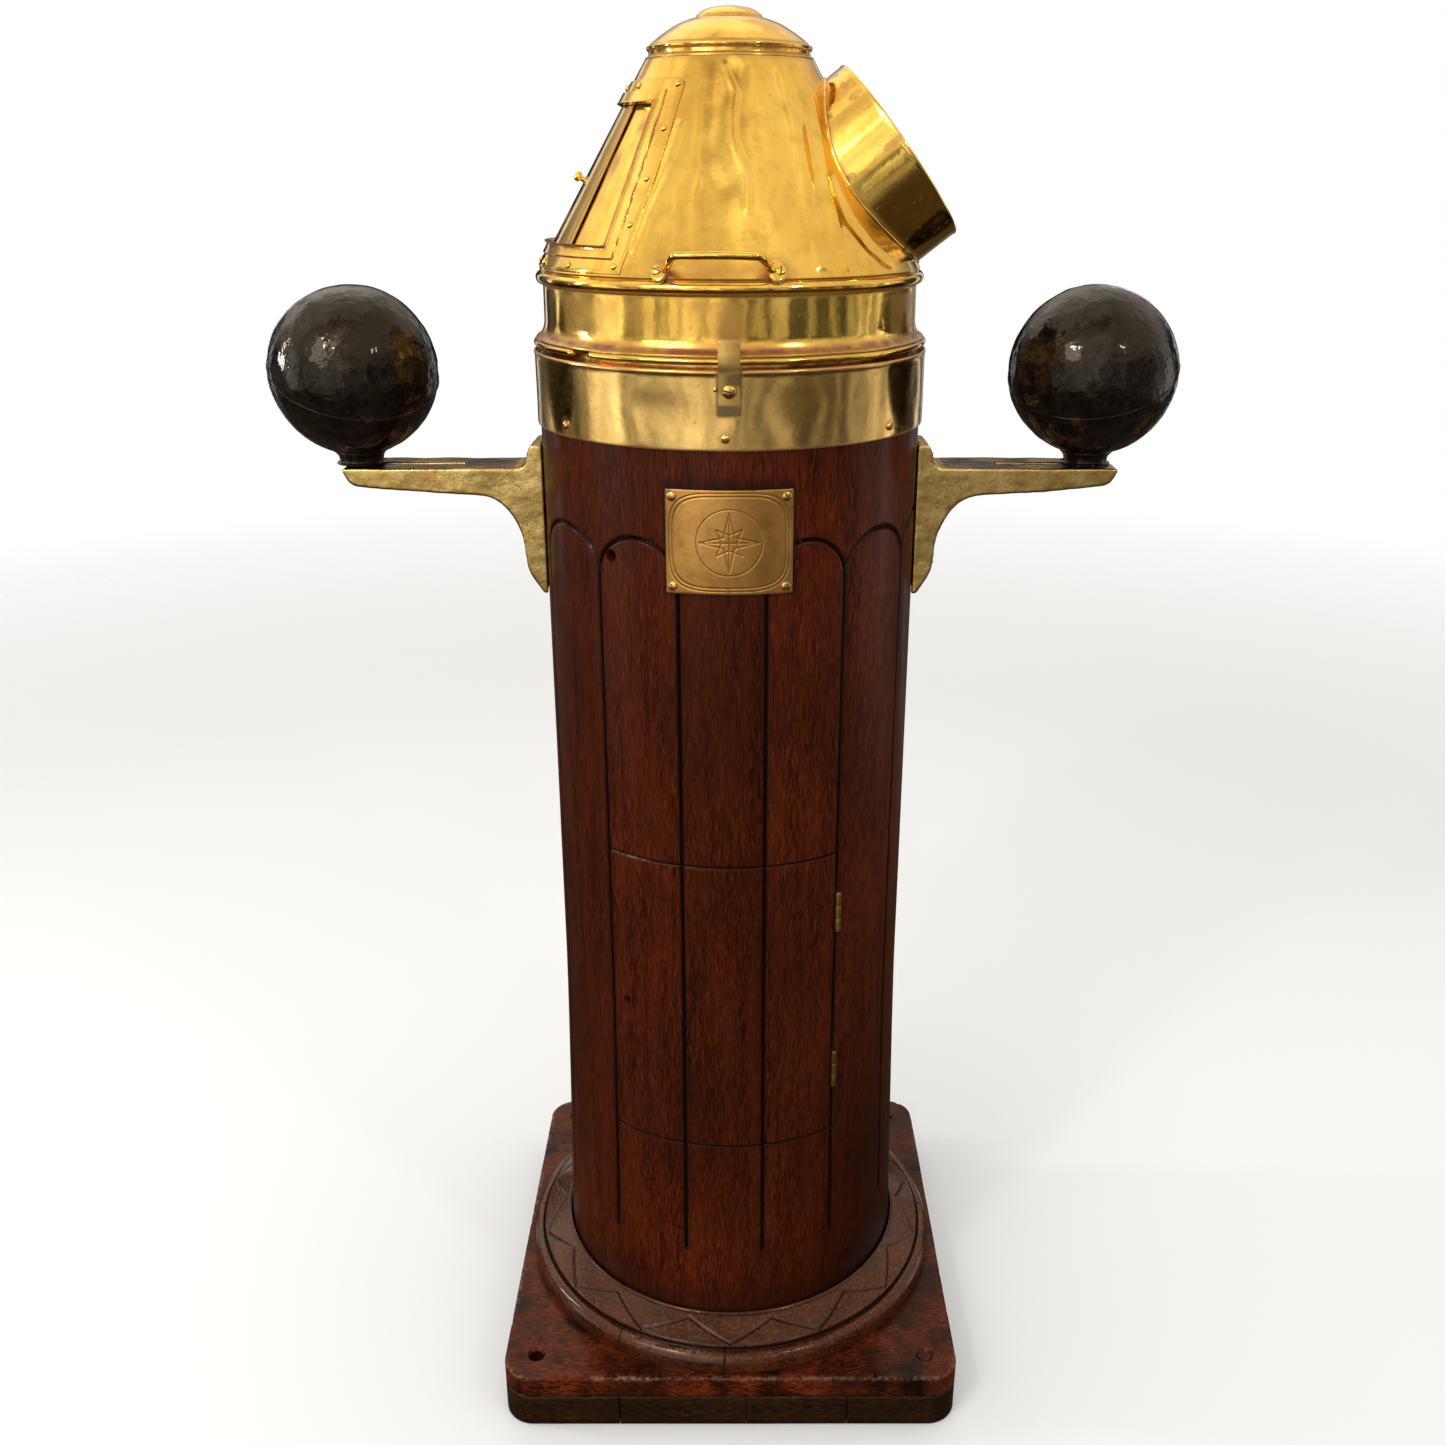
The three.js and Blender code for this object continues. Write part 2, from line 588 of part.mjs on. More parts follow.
const leafSheet = (near, far) => coneSheet(near, far, SHUTTER.bottom, SHUTTER.top);
const leaf = (sheet, [from, to]) => sector(sheet, to, from, SHUTTER.bottom - 1, SHUTTER.top + 1);
add("shutter_outer", leaf(leafSheet(-1.7, -0.5), SHUTTER.outer), FINISH.hoodBrass);
add("shutter_inner", leaf(leafSheet(-3.6, -2.4), SHUTTER.inner), FINISH.hoodBrass);

const KNOB_Z = 1181;
const knob = turned([[0, 0], [2, 0], [2, 3.4], [4, 4.6], [4.4, 7], [2.6, 8.8], [0, 9]], 12);
const knobOnCone = knob
  .rotate([90 - THREE.MathUtils.radToDeg(coneTilt), 0, 0])
  .translate([0, -(coneRadius(KNOB_Z) - 0.1), KNOB_Z]);
add("shutter_knob", atAngle(knobOnCone, -88), FINISH.hoodBrass);

// The bead is a wire ring with a gap in it, below the hood's flared foot.
const wireSection = Array.from({ length: 6 }, (_, i) => {
  const turn = (i / 6) * 2 * Math.PI;
  return [BEAD.r + BEAD.wire * Math.cos(turn), BEAD.z + BEAD.wire * Math.sin(turn)];
});
const beadGap = ((BEAD.gap / 2 / BEAD.r) * 180) / Math.PI;
const bead = turned(wireSection, 40).subtract(
  wedge(BEAD.gapAngle - beadGap, BEAD.gapAngle + beadGap, BEAD.z - 10, BEAD.z + 10),
);
add("hood_bead", bead, FINISH.hoodBrass);

// A bail handle: two round pads on the cone and a bent rod between them.
function handle() {
  const half = HANDLE.span / 2;
  const rise = HANDLE.standOff;
  const path = [
    [-half, 0, 1],
    [-half + 1, 0, rise * 0.4],
    [-half + 8, 0, rise * 0.86],
    [-half + 20, 0, rise],
    [half - 20, 0, rise],
    [half - 8, 0, rise * 0.86],
    [half - 1, 0, rise * 0.4],
    [half, 0, 1],
  ];
  let body = bent(path, HANDLE.rod, 14, 6);
  for (const x of [-half, half]) {
    body = body.add(rod(HANDLE.padR, 0, 3, 14).translate([x, 0, 0]));
  }
  const lift = half * half / (2 * coneRadius(HANDLE.z)) - 2.2;
  const seat = coneRadius(HANDLE.z) - lift;
  return body
    .rotate([90 - THREE.MathUtils.radToDeg(coneTilt), 0, 0])
    .translate([0, -seat, HANDLE.z])
    .subtract(hoodMass);
}

const catchFace = BAND.r + 0.7;

// The strap turns on its screw; its upper end stands in front of the hood's bead.
function catchParts() {
  const { width, thick, bottom, top, screwZ, screwR } = CATCH;
  const rounded = rod(width / 2, 0, thick, 20).scale([1, 0.5, 1]).translate([0, bottom - screwZ + 5, 0]);
  const plate = block([-width / 2, bottom - screwZ + 5, 0], [width / 2, top - screwZ, thick]);
  const lip = block([-width / 2, top - screwZ - 3, 0], [width / 2, top - screwZ, thick + 1.2]);
  const strap = plate.add(rounded).add(lip).subtract(rod(3.4, -1, thick + 1, 12));
  const headFoot = thick + GAP;
  const slotFloor = thick + 2.1;
  const section = [[0, 0], [2.9, 0], [2.9, headFoot], [screwR, headFoot], [screwR - 1, 4.8], [0, 5.6]];
  const head = turned(section, 16).subtract(block([-screwR, -0.6, slotFloor], [screwR, 0.6, 8]));
  const place = (body) => body.rotate([90, 0, 0]).translate([0, -catchFace, screwZ]);
  return { strap: place(strap), screw: place(head.translate([0, 0, -0.3])) };
}

for (const [end, angle] of Object.entries(ENDS)) {
  const { strap, screw } = catchParts();
  const handleAngle = angle + (end === "front" ? HANDLE.angle : 0);
  add(`hood_handle_${end}`, atAngle(handle(), handleAngle), FINISH.hoodBrass);
  add(`hood_catch_${end}`, atAngle(strap, angle), FINISH.bandBrass);
  add(`catch_screw_${end}`, atAngle(screw, angle), FINISH.bandBrass);
}

export default binnacle;
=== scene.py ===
"""Ship's binnacle compass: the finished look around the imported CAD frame.

Shapes are worked out in millimetres and made into metres when a mesh is built. Angles round the
pillar are degrees from -Y, where the door and the nameplate are, growing towards +X.
"""
import json
import math

import bmesh
import bpy
import numpy as np
from mathutils import Euler, Matrix, Vector


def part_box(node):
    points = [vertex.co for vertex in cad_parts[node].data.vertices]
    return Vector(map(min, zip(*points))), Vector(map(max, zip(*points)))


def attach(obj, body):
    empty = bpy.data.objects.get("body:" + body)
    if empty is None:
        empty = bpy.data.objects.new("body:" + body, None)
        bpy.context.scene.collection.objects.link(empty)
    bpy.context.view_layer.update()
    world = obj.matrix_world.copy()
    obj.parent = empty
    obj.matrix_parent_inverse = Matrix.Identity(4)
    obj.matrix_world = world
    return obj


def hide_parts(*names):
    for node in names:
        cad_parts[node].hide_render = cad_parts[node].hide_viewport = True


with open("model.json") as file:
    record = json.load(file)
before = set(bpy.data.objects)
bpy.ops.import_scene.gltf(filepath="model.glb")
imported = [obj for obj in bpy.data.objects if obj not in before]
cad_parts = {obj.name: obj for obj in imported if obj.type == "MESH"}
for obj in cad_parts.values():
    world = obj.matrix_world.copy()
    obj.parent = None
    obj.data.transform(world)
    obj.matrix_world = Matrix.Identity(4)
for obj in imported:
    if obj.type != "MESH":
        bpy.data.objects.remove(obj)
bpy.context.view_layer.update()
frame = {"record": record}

# ---------------------------------------------------------------- sizes from the frame

MM = 0.001


def extent(node):
    """A CAD node's box, low and high corner, in millimetres."""
    low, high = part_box(node)
    return low / MM, high / MM


PLINTH_LOW, PLINTH_HIGH = extent("plinth_lower")
UPPER_LOW, UPPER_HIGH = extent("plinth_upper")
RING_LOW, RING_HIGH = extent("foot_ring")
PILLAR_LOW, PILLAR_HIGH = extent("pillar")
BAND_LOW, BAND_HIGH = extent("lower_band")
PLATE_LOW, PLATE_HIGH = extent("nameplate")
CHAMBER_LOW, CHAMBER_HIGH = extent("chamber_ring")
HOOD_LOW, HOOD_HIGH = extent("hood_shell")
CAP_LOW, CAP_HIGH = extent("hood_cap")
CARD_LOW, CARD_HIGH = extent("compass_card")
JOINTS = {joint["name"]: joint for joint in frame["record"]["behaviour"]["joints"]}

PLINTH_HALF = PLINTH_HIGH.x
PLINTH_CORNER = 30
BOLT_HOLE = 198  # from the centre, both ways
PILLAR_R = 172.5
PILLAR_BORE = 150
FOOT_FLARE = PILLAR_HIGH.x - PILLAR_R
FLARE_TOP = 433
PANEL_EDGES = [-73, -41, -14.7, 10.6, 35.3, 63.5, 91.4, 119.4, 147.3, 175.3, 203.2, 231.1, 259.1]
ARCH_SPRING = 864
ARCH_RISE = 36
GROOVE_END = 165
GROOVE_DEPTH = 2.6
GROOVE_HALF = 1.55
DOOR_LEFT = -41
DOOR_RIGHT = 35.3
DOOR_BOTTOM = 298
DOOR_TOP = 601
DOOR_BACK = 151
DOOR_GAP = 0.8
BAND_R = BAND_HIGH.x
SHEET = 1.8
RIM_Z = 1102
CONE_Z = 1109.5
CONE_R = 167.6
TOP_R = 72
CONE_FALL = (CONE_R - TOP_R) / (HOOD_HIGH.z - CONE_Z)
CONE_STRETCH = math.hypot(1, CONE_FALL)
TUBE_R = 84
TUBE_WALL = 2.5
TUBE_FACE = Vector((147, 0, 1205))
TUBE_TILT = 37.5
WINDOW_EDGE = 39  # the shutter window runs from here to its mirror image about -90
WINDOW_LOW = 1129
WINDOW_TOP = 1239
HOOD_CUT_EDGE = 35  # the opening in the hood itself is wider, and the frame covers its edge
HOOD_CUT_LOW = 1122
HOOD_CUT_TOP = 1247
GIMBAL_Z = JOINTS["gimbal_pitch"]["pos_m"][2] / MM
FULL_TURN = 360

# ---------------------------------------------------------------- point helpers


def polar(angle, r, z):
    """Points at an angle, radius and height round the pillar's axis."""
    turn = np.radians(angle)
    return np.stack(np.broadcast_arrays(r * np.sin(turn), -r * np.cos(turn), z), axis=-1)


def turn_from(angle, start):
    """The turn from one angle to another, between -180 and 180."""
    return (angle - start + 180) % FULL_TURN - 180


def merged(*groups):
    """The sorted values of all groups, without repeats."""
    return np.unique(np.round(np.concatenate([np.ravel(group) for group in groups]), 3))


def spaced(points, step, closed=False):
    """A polyline's corners, with points added so that none are further apart than step."""
    points = np.asarray(points, float)
    ends = np.roll(points, -1, axis=0) if closed else points[1:]
    out = []
    for start, end in zip(points, ends):
        count = max(1, int(np.ceil(np.linalg.norm(end - start) / step)))
        out.extend(start + (end - start) * i / count for i in range(count))
    if not closed:
        out.append(points[-1])
    return np.array(out)


def rounded(corners, steps=5):
    """A polyline through (x, y, radius) corners, each rounded by its radius."""
    corners = [np.array(corner, float) for corner in corners]
    out = [corners[0][:2]]
    for before, corner, after in zip(corners, corners[1:], corners[2:]):
        point, radius = corner[:2], corner[2]
        back, ahead = before[:2] - point, after[:2] - point
        reach = min(radius, 0.49 * np.linalg.norm(back), 0.49 * np.linalg.norm(ahead))
        if radius == 0:
            out.append(point)
            continue
        first = point + back / np.linalg.norm(back) * reach
        last = point + ahead / np.linalg.norm(ahead) * reach
        for i in range(steps + 1):
            t = i / steps
            out.append((1 - t) ** 2 * first + 2 * t * (1 - t) * point + t * t * last)
    out.append(corners[-1][:2])
    return np.array(out)


def bell(distance, width):
    """One at no distance, falling smoothly to nothing over about twice the width."""
    return np.exp(-((distance / width) ** 2))


def fading(distance, reach):
    return np.exp(-distance / reach)


def smoothstep(low, high, value):
    t = np.clip((value - low) / (high - low), 0, 1)
    return t * t * (3 - 2 * t)


def noise(points, size, seed, stretch=(1, 1, 1)):
    """Smooth noise from -1 to 1 with features of a size in millimetres."""
    cells = 32
    table = np.random.default_rng(seed).uniform(-1, 1, (cells, cells, cells))
    place = np.asarray(points) / size * np.array(stretch) + 500
    cell = np.floor(place).astype(int)
    part = place - cell
    part = part * part * (3 - 2 * part)
    total = np.zeros(place.shape[:-1])
    for corner in np.ndindex(2, 2, 2):
        weight = np.prod(np.where(corner, part, 1 - part), axis=-1)
        i, j, k = np.moveaxis((cell + corner) % cells, -1, 0)
        total += weight * table[i, j, k]
    return total


def run_distance(x, y, run_x, run_y):
    """How far points are from the straight run between the origin and (run_x, run_y)."""
    t = np.clip((x * run_x + y * run_y) / (run_x**2 + run_y**2), 0, 1)
    return np.hypot(x - t * run_x, y - t * run_y)


def path_distance(angle, z, r, path):
    """How far each surface point is from a path of (angle, height) points."""
    best = np.full(np.broadcast(angle, z).shape, np.inf)
    for (angle_a, z_a), (angle_b, z_b) in zip(path, path[1:]):
        run = np.radians(angle_b - angle_a) * r, z_b - z_a
        best = np.minimum(best, run_distance(np.radians(angle - angle_a) * r, z - z_a, *run))
    return best


def crease(angle, z, r, path, width, height):
    """A ridge of the given height along a path, or a valley where height is negative."""
    return height * bell(path_distance(angle, z, r, path), width)


def dent(angle, z, r, centre, half_size, depth):
    """A soft hollow centred on (angle, height)."""
    x = np.radians(angle - centre[0]) * r / half_size[0]
    y = (z - centre[1]) / half_size[1]
    return -depth * np.exp(-(x * x + y * y))


def cone_radius(z):
    return CONE_R - (z - CONE_Z) * CONE_FALL


def on_cone(angle, z, off=0.0):
    """A point standing off the hood's cone by a distance along its normal."""
    out = off / CONE_STRETCH
    return polar(angle, cone_radius(z) + out, z + out * CONE_FALL)


def cone_normal(angle):
    return Vector(polar(angle, 1.0, CONE_FALL)).normalized()


# ---------------------------------------------------------------- mesh helpers


def cleaned(mesh):
    """Merges points that fall together, and makes every face point outwards."""
    work = bmesh.new()
    work.from_mesh(mesh)
    bmesh.ops.remove_doubles(work, verts=work.verts, dist=1e-6)
    bmesh.ops.recalc_face_normals(work, faces=work.faces)
    work.to_mesh(mesh)
    work.free()


def build(name, points, faces, marks=None, sharp=38):
    """An object from points in millimetres, with marks kept as named values on its points."""
    mesh = bpy.data.meshes.new(name)
    mesh.from_pydata((np.asarray(points) * MM).tolist(), [], [list(map(int, face)) for face in faces])
    for mark, values in (marks or {}).items():
        mesh.attributes.new(mark, "FLOAT", "POINT").data.foreach_set("value", np.ravel(values))
    cleaned(mesh)
    return smoothed(named(name, mesh), sharp)


def named(name, mesh):
    obj = bpy.data.objects.new(name, mesh)
    bpy.context.scene.collection.objects.link(obj)
    return obj


def smoothed(obj, sharp=38):
    obj.data.shade_smooth()
    obj.data.set_sharp_from_angle(angle=math.radians(sharp))
    return obj


def applied(obj):
    """Replaces the object's mesh by what its modifiers make of it."""
    bpy.context.view_layer.update()
    result = obj.evaluated_get(bpy.context.evaluated_depsgraph_get())
    mesh = bpy.data.meshes.new_from_object(result)
    obj.modifiers.clear()
    obj.data = mesh
    return obj


def modify(obj, kind, **settings):
    """Adds a modifier, which applied() then makes part of the mesh."""
    step = obj.modifiers.new(kind, kind)
    for key, value in settings.items():
        setattr(step, key, value)


def combined(obj, operation, tools):
    """The object with closed tool objects added or taken away. The tools are thrown away."""
    for tool in tools:
        modify(obj, "BOOLEAN", operation=operation, solver="MANIFOLD", object=tool)
    applied(obj)
    for tool in tools:
        bpy.data.objects.remove(tool)
    return obj


def cut(obj, *tools):
    return smoothed(combined(obj, "DIFFERENCE", tools))


def moved(obj, matrix):
    """Moves the mesh itself, so that the object stays at the origin. The matrix is in millimetres."""
    scaled = matrix.copy()
    scaled.translation *= MM
    obj.data.transform(scaled)
    return obj


def joined(name, parts):
    """One object holding the meshes of several."""
    work = bmesh.new()
    for part in parts:
        work.from_mesh(part.data)
    mesh = bpy.data.meshes.new(name)
    work.to_mesh(mesh)
    work.free()
    for part in parts:
        bpy.data.objects.remove(part)
    return smoothed(named(name, mesh))


def copies(name, template, places):
    """One object holding a copy of the template at each place, and no template."""
    parts = []
    for place in places:
        part = named(name, template.data.copy())
        parts.append(moved(part, place))
    bpy.data.objects.remove(template)
    return joined(name, parts)


def facing(point, outward, spin=0.0):
    """A place whose Z axis points outwards."""
    turn = Vector(outward).to_track_quat("Z", "Y").to_matrix().to_4x4()
    return Matrix.Translation(Vector(point)) @ turn @ Matrix.Rotation(math.radians(spin), 4, "Z")


def around(angle):
    return Matrix.Rotation(math.radians(angle), 4, "Z")


def shell(name, outer, inner, keep=None, wrap=False, marks=None):
    """A closed sheet between two grids of points; keep says which of its cells exist."""
    rows, columns = outer.shape[:2]
    count = rows * columns
    if keep is None:
        keep = np.ones((rows - 1, columns if wrap else columns - 1), bool)

    def corners(cells):
        row, column = np.nonzero(cells)
        beside = (column + 1) % columns
        low, high = row * columns, (row + 1) * columns
        return low + column, low + beside, high + beside, high + column

    def wall(cells, first, second):
        at = corners(cells)
        a, b = at[first], at[second]
        return np.stack([b, a, a + count, b + count], axis=1)

    a, b, c, d = corners(keep)
    faces = [np.stack([a, b, c, d], axis=1), np.stack([a, d, c, b], axis=1) + count]
    empty = np.zeros_like(keep[:1])
    side = keep[:, -1:] if wrap else np.zeros_like(keep[:, :1])
    other = keep[:, :1] if wrap else np.zeros_like(keep[:, :1])
    faces.append(wall(keep & ~np.concatenate([empty, keep[:-1]]), 0, 1))
    faces.append(wall(keep & ~np.concatenate([keep[1:], empty]), 2, 3))
    faces.append(wall(keep & ~np.concatenate([side, keep[:, :-1]], axis=1), 3, 0))
    faces.append(wall(keep & ~np.concatenate([keep[:, 1:], other], axis=1), 1, 2))
    faces = np.concatenate(faces)
    used, faces = np.unique(faces, return_inverse=True)
    points = np.concatenate([outer.reshape(-1, 3), inner.reshape(-1, 3)])[used]
    doubled = {
        mark: np.concatenate([np.ravel(value), np.zeros(count)])[used]
        for mark, value in (marks or {}).items()
    }
    return build(name, points, faces.reshape(-1, 4), doubled)


def turned(name, section, warp=None, columns=160, step=None, marks=None):
    """A solid turned from a closed section of (radius, height) points."""
    loop = np.array(section, float)
    following = np.roll(loop, -1, axis=0)
    if np.sum(loop[:, 0] * following[:, 1] - following[:, 0] * loop[:, 1]) < 0:
        loop = loop[::-1]
    if step:
        loop = spaced(loop, step, closed=True)
    angle = np.arange(columns) * FULL_TURN / columns
    r, z = (np.repeat(values[:, None], columns, axis=1) for values in loop.T)
    if warp is not None:
        r = r + warp(angle[None, :], r, z)
    values = {mark: make(angle[None, :], r, z) for mark, make in (marks or {}).items()}
    return build(name, polar(angle[None, :], r, z).reshape(-1, 3), quads(len(loop), columns, True), values)


def quads(rows, columns, wrap_rows=False):
    """The corners of each cell of a grid of points whose columns join round."""
    row, column = np.indices((rows if wrap_rows else rows - 1, columns))
    above, beside = (row + 1) % rows, (column + 1) % columns
    ids = [row * columns + column, row * columns + beside, above * columns + beside, above * columns + column]
    return np.stack(ids, -1).reshape(-1, 4)


def end_caps(rows, columns):
    """The two faces that close the first and the last row of such a grid."""
    return [list(range(columns))[::-1], [(rows - 1) * columns + i for i in range(columns)]]


def circle(r, sides=14):
    turn = np.arange(sides) * 2 * np.pi / sides
    return np.stack([r * np.cos(turn), r * np.sin(turn)], axis=1)


def bar(width, thick, corner):
    """A rectangle with rounded corners: thickness along the first axis, width along the second."""
    quarter = np.linspace(0, np.pi / 2, 4)
    points = []
    for start, x, y in ((0, 1, 1), (1, -1, 1), (2, -1, -1), (3, 1, -1)):
        turn = quarter + start * np.pi / 2
        centre = np.array([x * (thick / 2 - corner), y * (width / 2 - corner)])
        points.append(centre + corner * np.stack([np.cos(turn), np.sin(turn)], axis=1))
    return np.concatenate(points)


def swept(name, path, section, up, scale=None, closed=False):
    """A section carried along a path. The section's first axis points as near to up as it can."""
    path = np.asarray(path, float)
    ahead = np.roll(path, -1, axis=0) - np.roll(path, 1, axis=0)
    if not closed:
        ahead[0], ahead[-1] = path[1] - path[0], path[-1] - path[-2]
    ahead /= np.linalg.norm(ahead, axis=1, keepdims=True)
    up = np.broadcast_to(np.asarray(up, float), path.shape)
    first = up - np.sum(up * ahead, axis=1, keepdims=True) * ahead
    first /= np.linalg.norm(first, axis=1, keepdims=True)
    second = np.cross(ahead, first)
    scale = np.ones(len(path)) if scale is None else np.asarray(scale)
    offset = section[None, :, :] * scale[:, None, None]
    grid = path[:, None] + offset[..., :1] * first[:, None] + offset[..., 1:] * second[:, None]
    rows, sides = grid.shape[:2]
    faces = quads(rows, sides, closed).tolist() + ([] if closed else end_caps(rows, sides))
    return build(name, grid.reshape(-1, 3), faces)


def block(name, low, high, bevel=0.8):
    """A box with rounded edges."""
    work = bmesh.new()
    bmesh.ops.create_cube(work, size=1)
    low, high = Vector(low) * MM, Vector(high) * MM
    for vert in work.verts:
        vert.co = [low[i] + (vert.co[i] + 0.5) * (high[i] - low[i]) for i in range(3)]
    if bevel:
        bmesh.ops.bevel(work, geom=work.edges[:], offset=bevel * MM, segments=3, affect="EDGES", profile=0.6)
    mesh = bpy.data.meshes.new(name)
    work.to_mesh(mesh)
    work.free()
    return smoothed(named(name, mesh))


def rod(name, r, low, high, bevel=0.5, columns=40):
    """A round bar along Z with eased ends."""
    section = rounded([(0, low, 0), (r, low, bevel), (r, high, bevel), (0, high, 0)])
    return turned(name, section, columns=columns)


def dome(r, height, foot=0.6):
    """The section of a round-headed fastener that stands on z = 0."""
    curve = [(r * math.cos(t), foot + (height - foot) * math.sin(t)) for t in np.linspace(0, np.pi / 2, 9)]
    return [(0, -1.2), (r * 0.96, -1.2), (r, 0)] + curve


def screw_head(name, r, height, slot=None):
    """A round head standing on z = 0, with a straight slot whose floor is marked dark."""
    head = turned(name, dome(r, height), columns=48)
    slot, floor = slot or r * 0.25, height * 0.38
    tool = block("slot_tool", (-r * 2, -slot / 2, floor), (r * 2, slot / 2, height * 2), bevel=0)

    def on_floor(points, normals):
        return np.isclose(points[:, 2], floor, atol=0.02).astype(float)

    return marked(cut(head, tool), "grime_and_shade", on_floor)


def points_and_normals(mesh):
    """A mesh's points, in metres, and its normals there, as two arrays of rows."""
    points = np.empty(len(mesh.vertices) * 3)
    normals = np.empty(len(mesh.vertices) * 3)
    mesh.vertices.foreach_get("co", points)
    mesh.vertex_normals.foreach_get("vector", normals)
    return points.reshape(-1, 3), normals.reshape(-1, 3)


def roughened(obj, *layers):
    """Moves each point along its normal by layers of (size, amount, seed) noise."""
    mesh = obj.data
    points, normals = points_and_normals(mesh)
    move = sum(amount * noise(points / MM, size, seed) for size, amount, seed in layers)
    points += normals * move[:, None] * MM
    mesh.vertices.foreach_set("co", points.ravel())
    mesh.update()
    return obj


def marked(obj, mark, value):
    """Keeps a value on each point, worked out from its place in millimetres and its normal."""
    mesh = obj.data
    points, normals = points_and_normals(mesh)
    values = value(points / MM, normals)
    mesh.attributes.new(mark, "FLOAT", "POINT").data.foreach_set("value", np.ravel(values))
    return obj


# ---------------------------------------------------------------- material helpers


class Nodes:
    """A node tree being put together."""

    def __init__(self, tree):
        self.tree = tree

    def add(self, kind, inputs=None, **settings):
        node = self.tree.nodes.new(kind)
        for key, value in settings.items():
            setattr(node, key, value)
        self.fill(node, inputs or {})
        return node

    def fill(self, node, inputs):
        for key, value in inputs.items():
            if isinstance(value, bpy.types.NodeSocket):
                self.tree.links.new(value, node.inputs[key])
            else:
                node.inputs[key].default_value = value

    def math(self, operation, a, b=0.0, clamp=True):
        return self.add("ShaderNodeMath", {0: a, 1: b}, operation=operation, use_clamp=clamp).outputs[0]

    def remap(self, value, low, high, to_low=0.0, to_high=1.0):
        inputs = {"Value": value, "From Min": low, "From Max": high, "To Min": to_low, "To Max": to_high}
        return self.add("ShaderNodeMapRange", inputs).outputs[0]

    def mix(self, factor, first, second):
        node = self.add("ShaderNodeMix", data_type="RGBA")
        colours = [(*value, 1) if isinstance(value, tuple) else value for value in (first, second)]
        self.fill(node, {0: factor, 6: colours[0], 7: colours[1]})
        return node.outputs[2]

    def clouds(self, vector, scale, shift=0.0, detail=3.0, rough=0.55):
        """Noise over a vector, which is scaled along each axis first."""
        mapping = self.add("ShaderNodeMapping", {"Vector": vector, "Scale": scale, "Location": (shift,) * 3})
        inputs = {"Vector": mapping.outputs[0], "Scale": 1.0, "Detail": detail, "Roughness": rough}
        return self.add("ShaderNodeTexNoise", inputs).outputs["Fac"]


class Look(Nodes):
    """A material being put together from nodes around one Principled shader."""

    def __init__(self, name):
        self.material = bpy.data.materials.new(name)
        self.material.use_nodes = True
        super().__init__(self.material.node_tree)
        self.shader = self.tree.nodes["Principled BSDF"]
        self.place = self.add("ShaderNodeTexCoord").outputs["Object"]

    def surface(self, **inputs):
        """Sets or links sockets of the shader, named with _ for each space."""
        self.fill(self.shader, {key.replace("_", " "): value for key, value in inputs.items()})
        return self.material

    def noise(self, size, stretch=(1, 1, 1), detail=3.0, shift=0.0, rough=0.55):
        """Noise with features of a size in millimetres, drawn out along the axes by stretch."""
        return self.clouds(self.place, [1 / (size * MM * s) for s in stretch], shift, detail, rough)

    def mark(self, name):
        return self.add("ShaderNodeAttribute", attribute_name=name).outputs["Fac"]

    def bump(self, height, strength, distance, under=None):
        """Bump of a distance in millimetres, over an earlier bump if there is one."""
        inputs = {"Height": height, "Strength": strength, "Distance": distance * MM}
        if under is not None:
            inputs["Normal"] = under
        return self.add("ShaderNodeBump", inputs).outputs[0]


# ---------------------------------------------------------------- materials


def brass(name, bright, deep, tarnish, gloss, haze=0.12, scratch=0.06, speckle=0.62):
    """Polished sheet brass: cloudy tone, tarnish and painted shade where marked, tarnish in specks, and fine
    scratches.
    """
    look = Look(name)
    cloud = look.noise(70, detail=5)
    blot = look.noise(16, detail=6, shift=3)
    tone = look.mix(look.remap(cloud, 0.38, 0.64), bright, deep)
    fleck = look.noise(13, stretch=(1, 1, 1.8), detail=7, shift=14, rough=0.62)
    tone = look.mix(look.remap(fleck, 0.5, 0.68, 0, 0.45), tone, tuple(c * 0.72 for c in deep))
    # The marked darkening is tarnish, and painted shade round the catch straps, on their edges and at the
    # frame's bends.
    grime_and_shade = look.mark("grime_and_shade")
    stain = look.math("MULTIPLY", grime_and_shade, look.remap(blot, 0.3, 0.6, 0.65, 1.2))
    speck = look.remap(look.noise(3.2, detail=4, shift=9), speckle, speckle + 0.1, 0, 0.65)
    patch = look.math("MULTIPLY", speck, look.remap(blot, 0.45, 0.62))
    dirt_and_shade = look.math("MAXIMUM", stain, patch)
    colour = look.mix(dirt_and_shade, tone, tarnish)
    wipe = look.noise(5, stretch=(2.5, 2.5, 0.6), detail=4, shift=5)
    smear = look.math("ADD", look.remap(blot, 0.3, 0.75, 0, 0.6), look.math("MULTIPLY", wipe, 0.5))
    rough = look.remap(smear, 0.1, 1.0, gloss, gloss + haze)
    rough = look.math("ADD", rough, look.math("MULTIPLY", dirt_and_shade, 0.28))
    lines = look.noise(0.9, stretch=(9, 9, 0.7), detail=2, shift=2)
    normal = look.bump(lines, scratch, 0.08)
    normal = look.bump(look.noise(24, detail=3, shift=7), 0.22, 1.2, normal)
    metal = look.remap(dirt_and_shade, 0.0, 1.0, 1.0, 0.45)
    return look.surface(Base_Color=colour, Metallic=metal, Roughness=rough, Normal=normal)


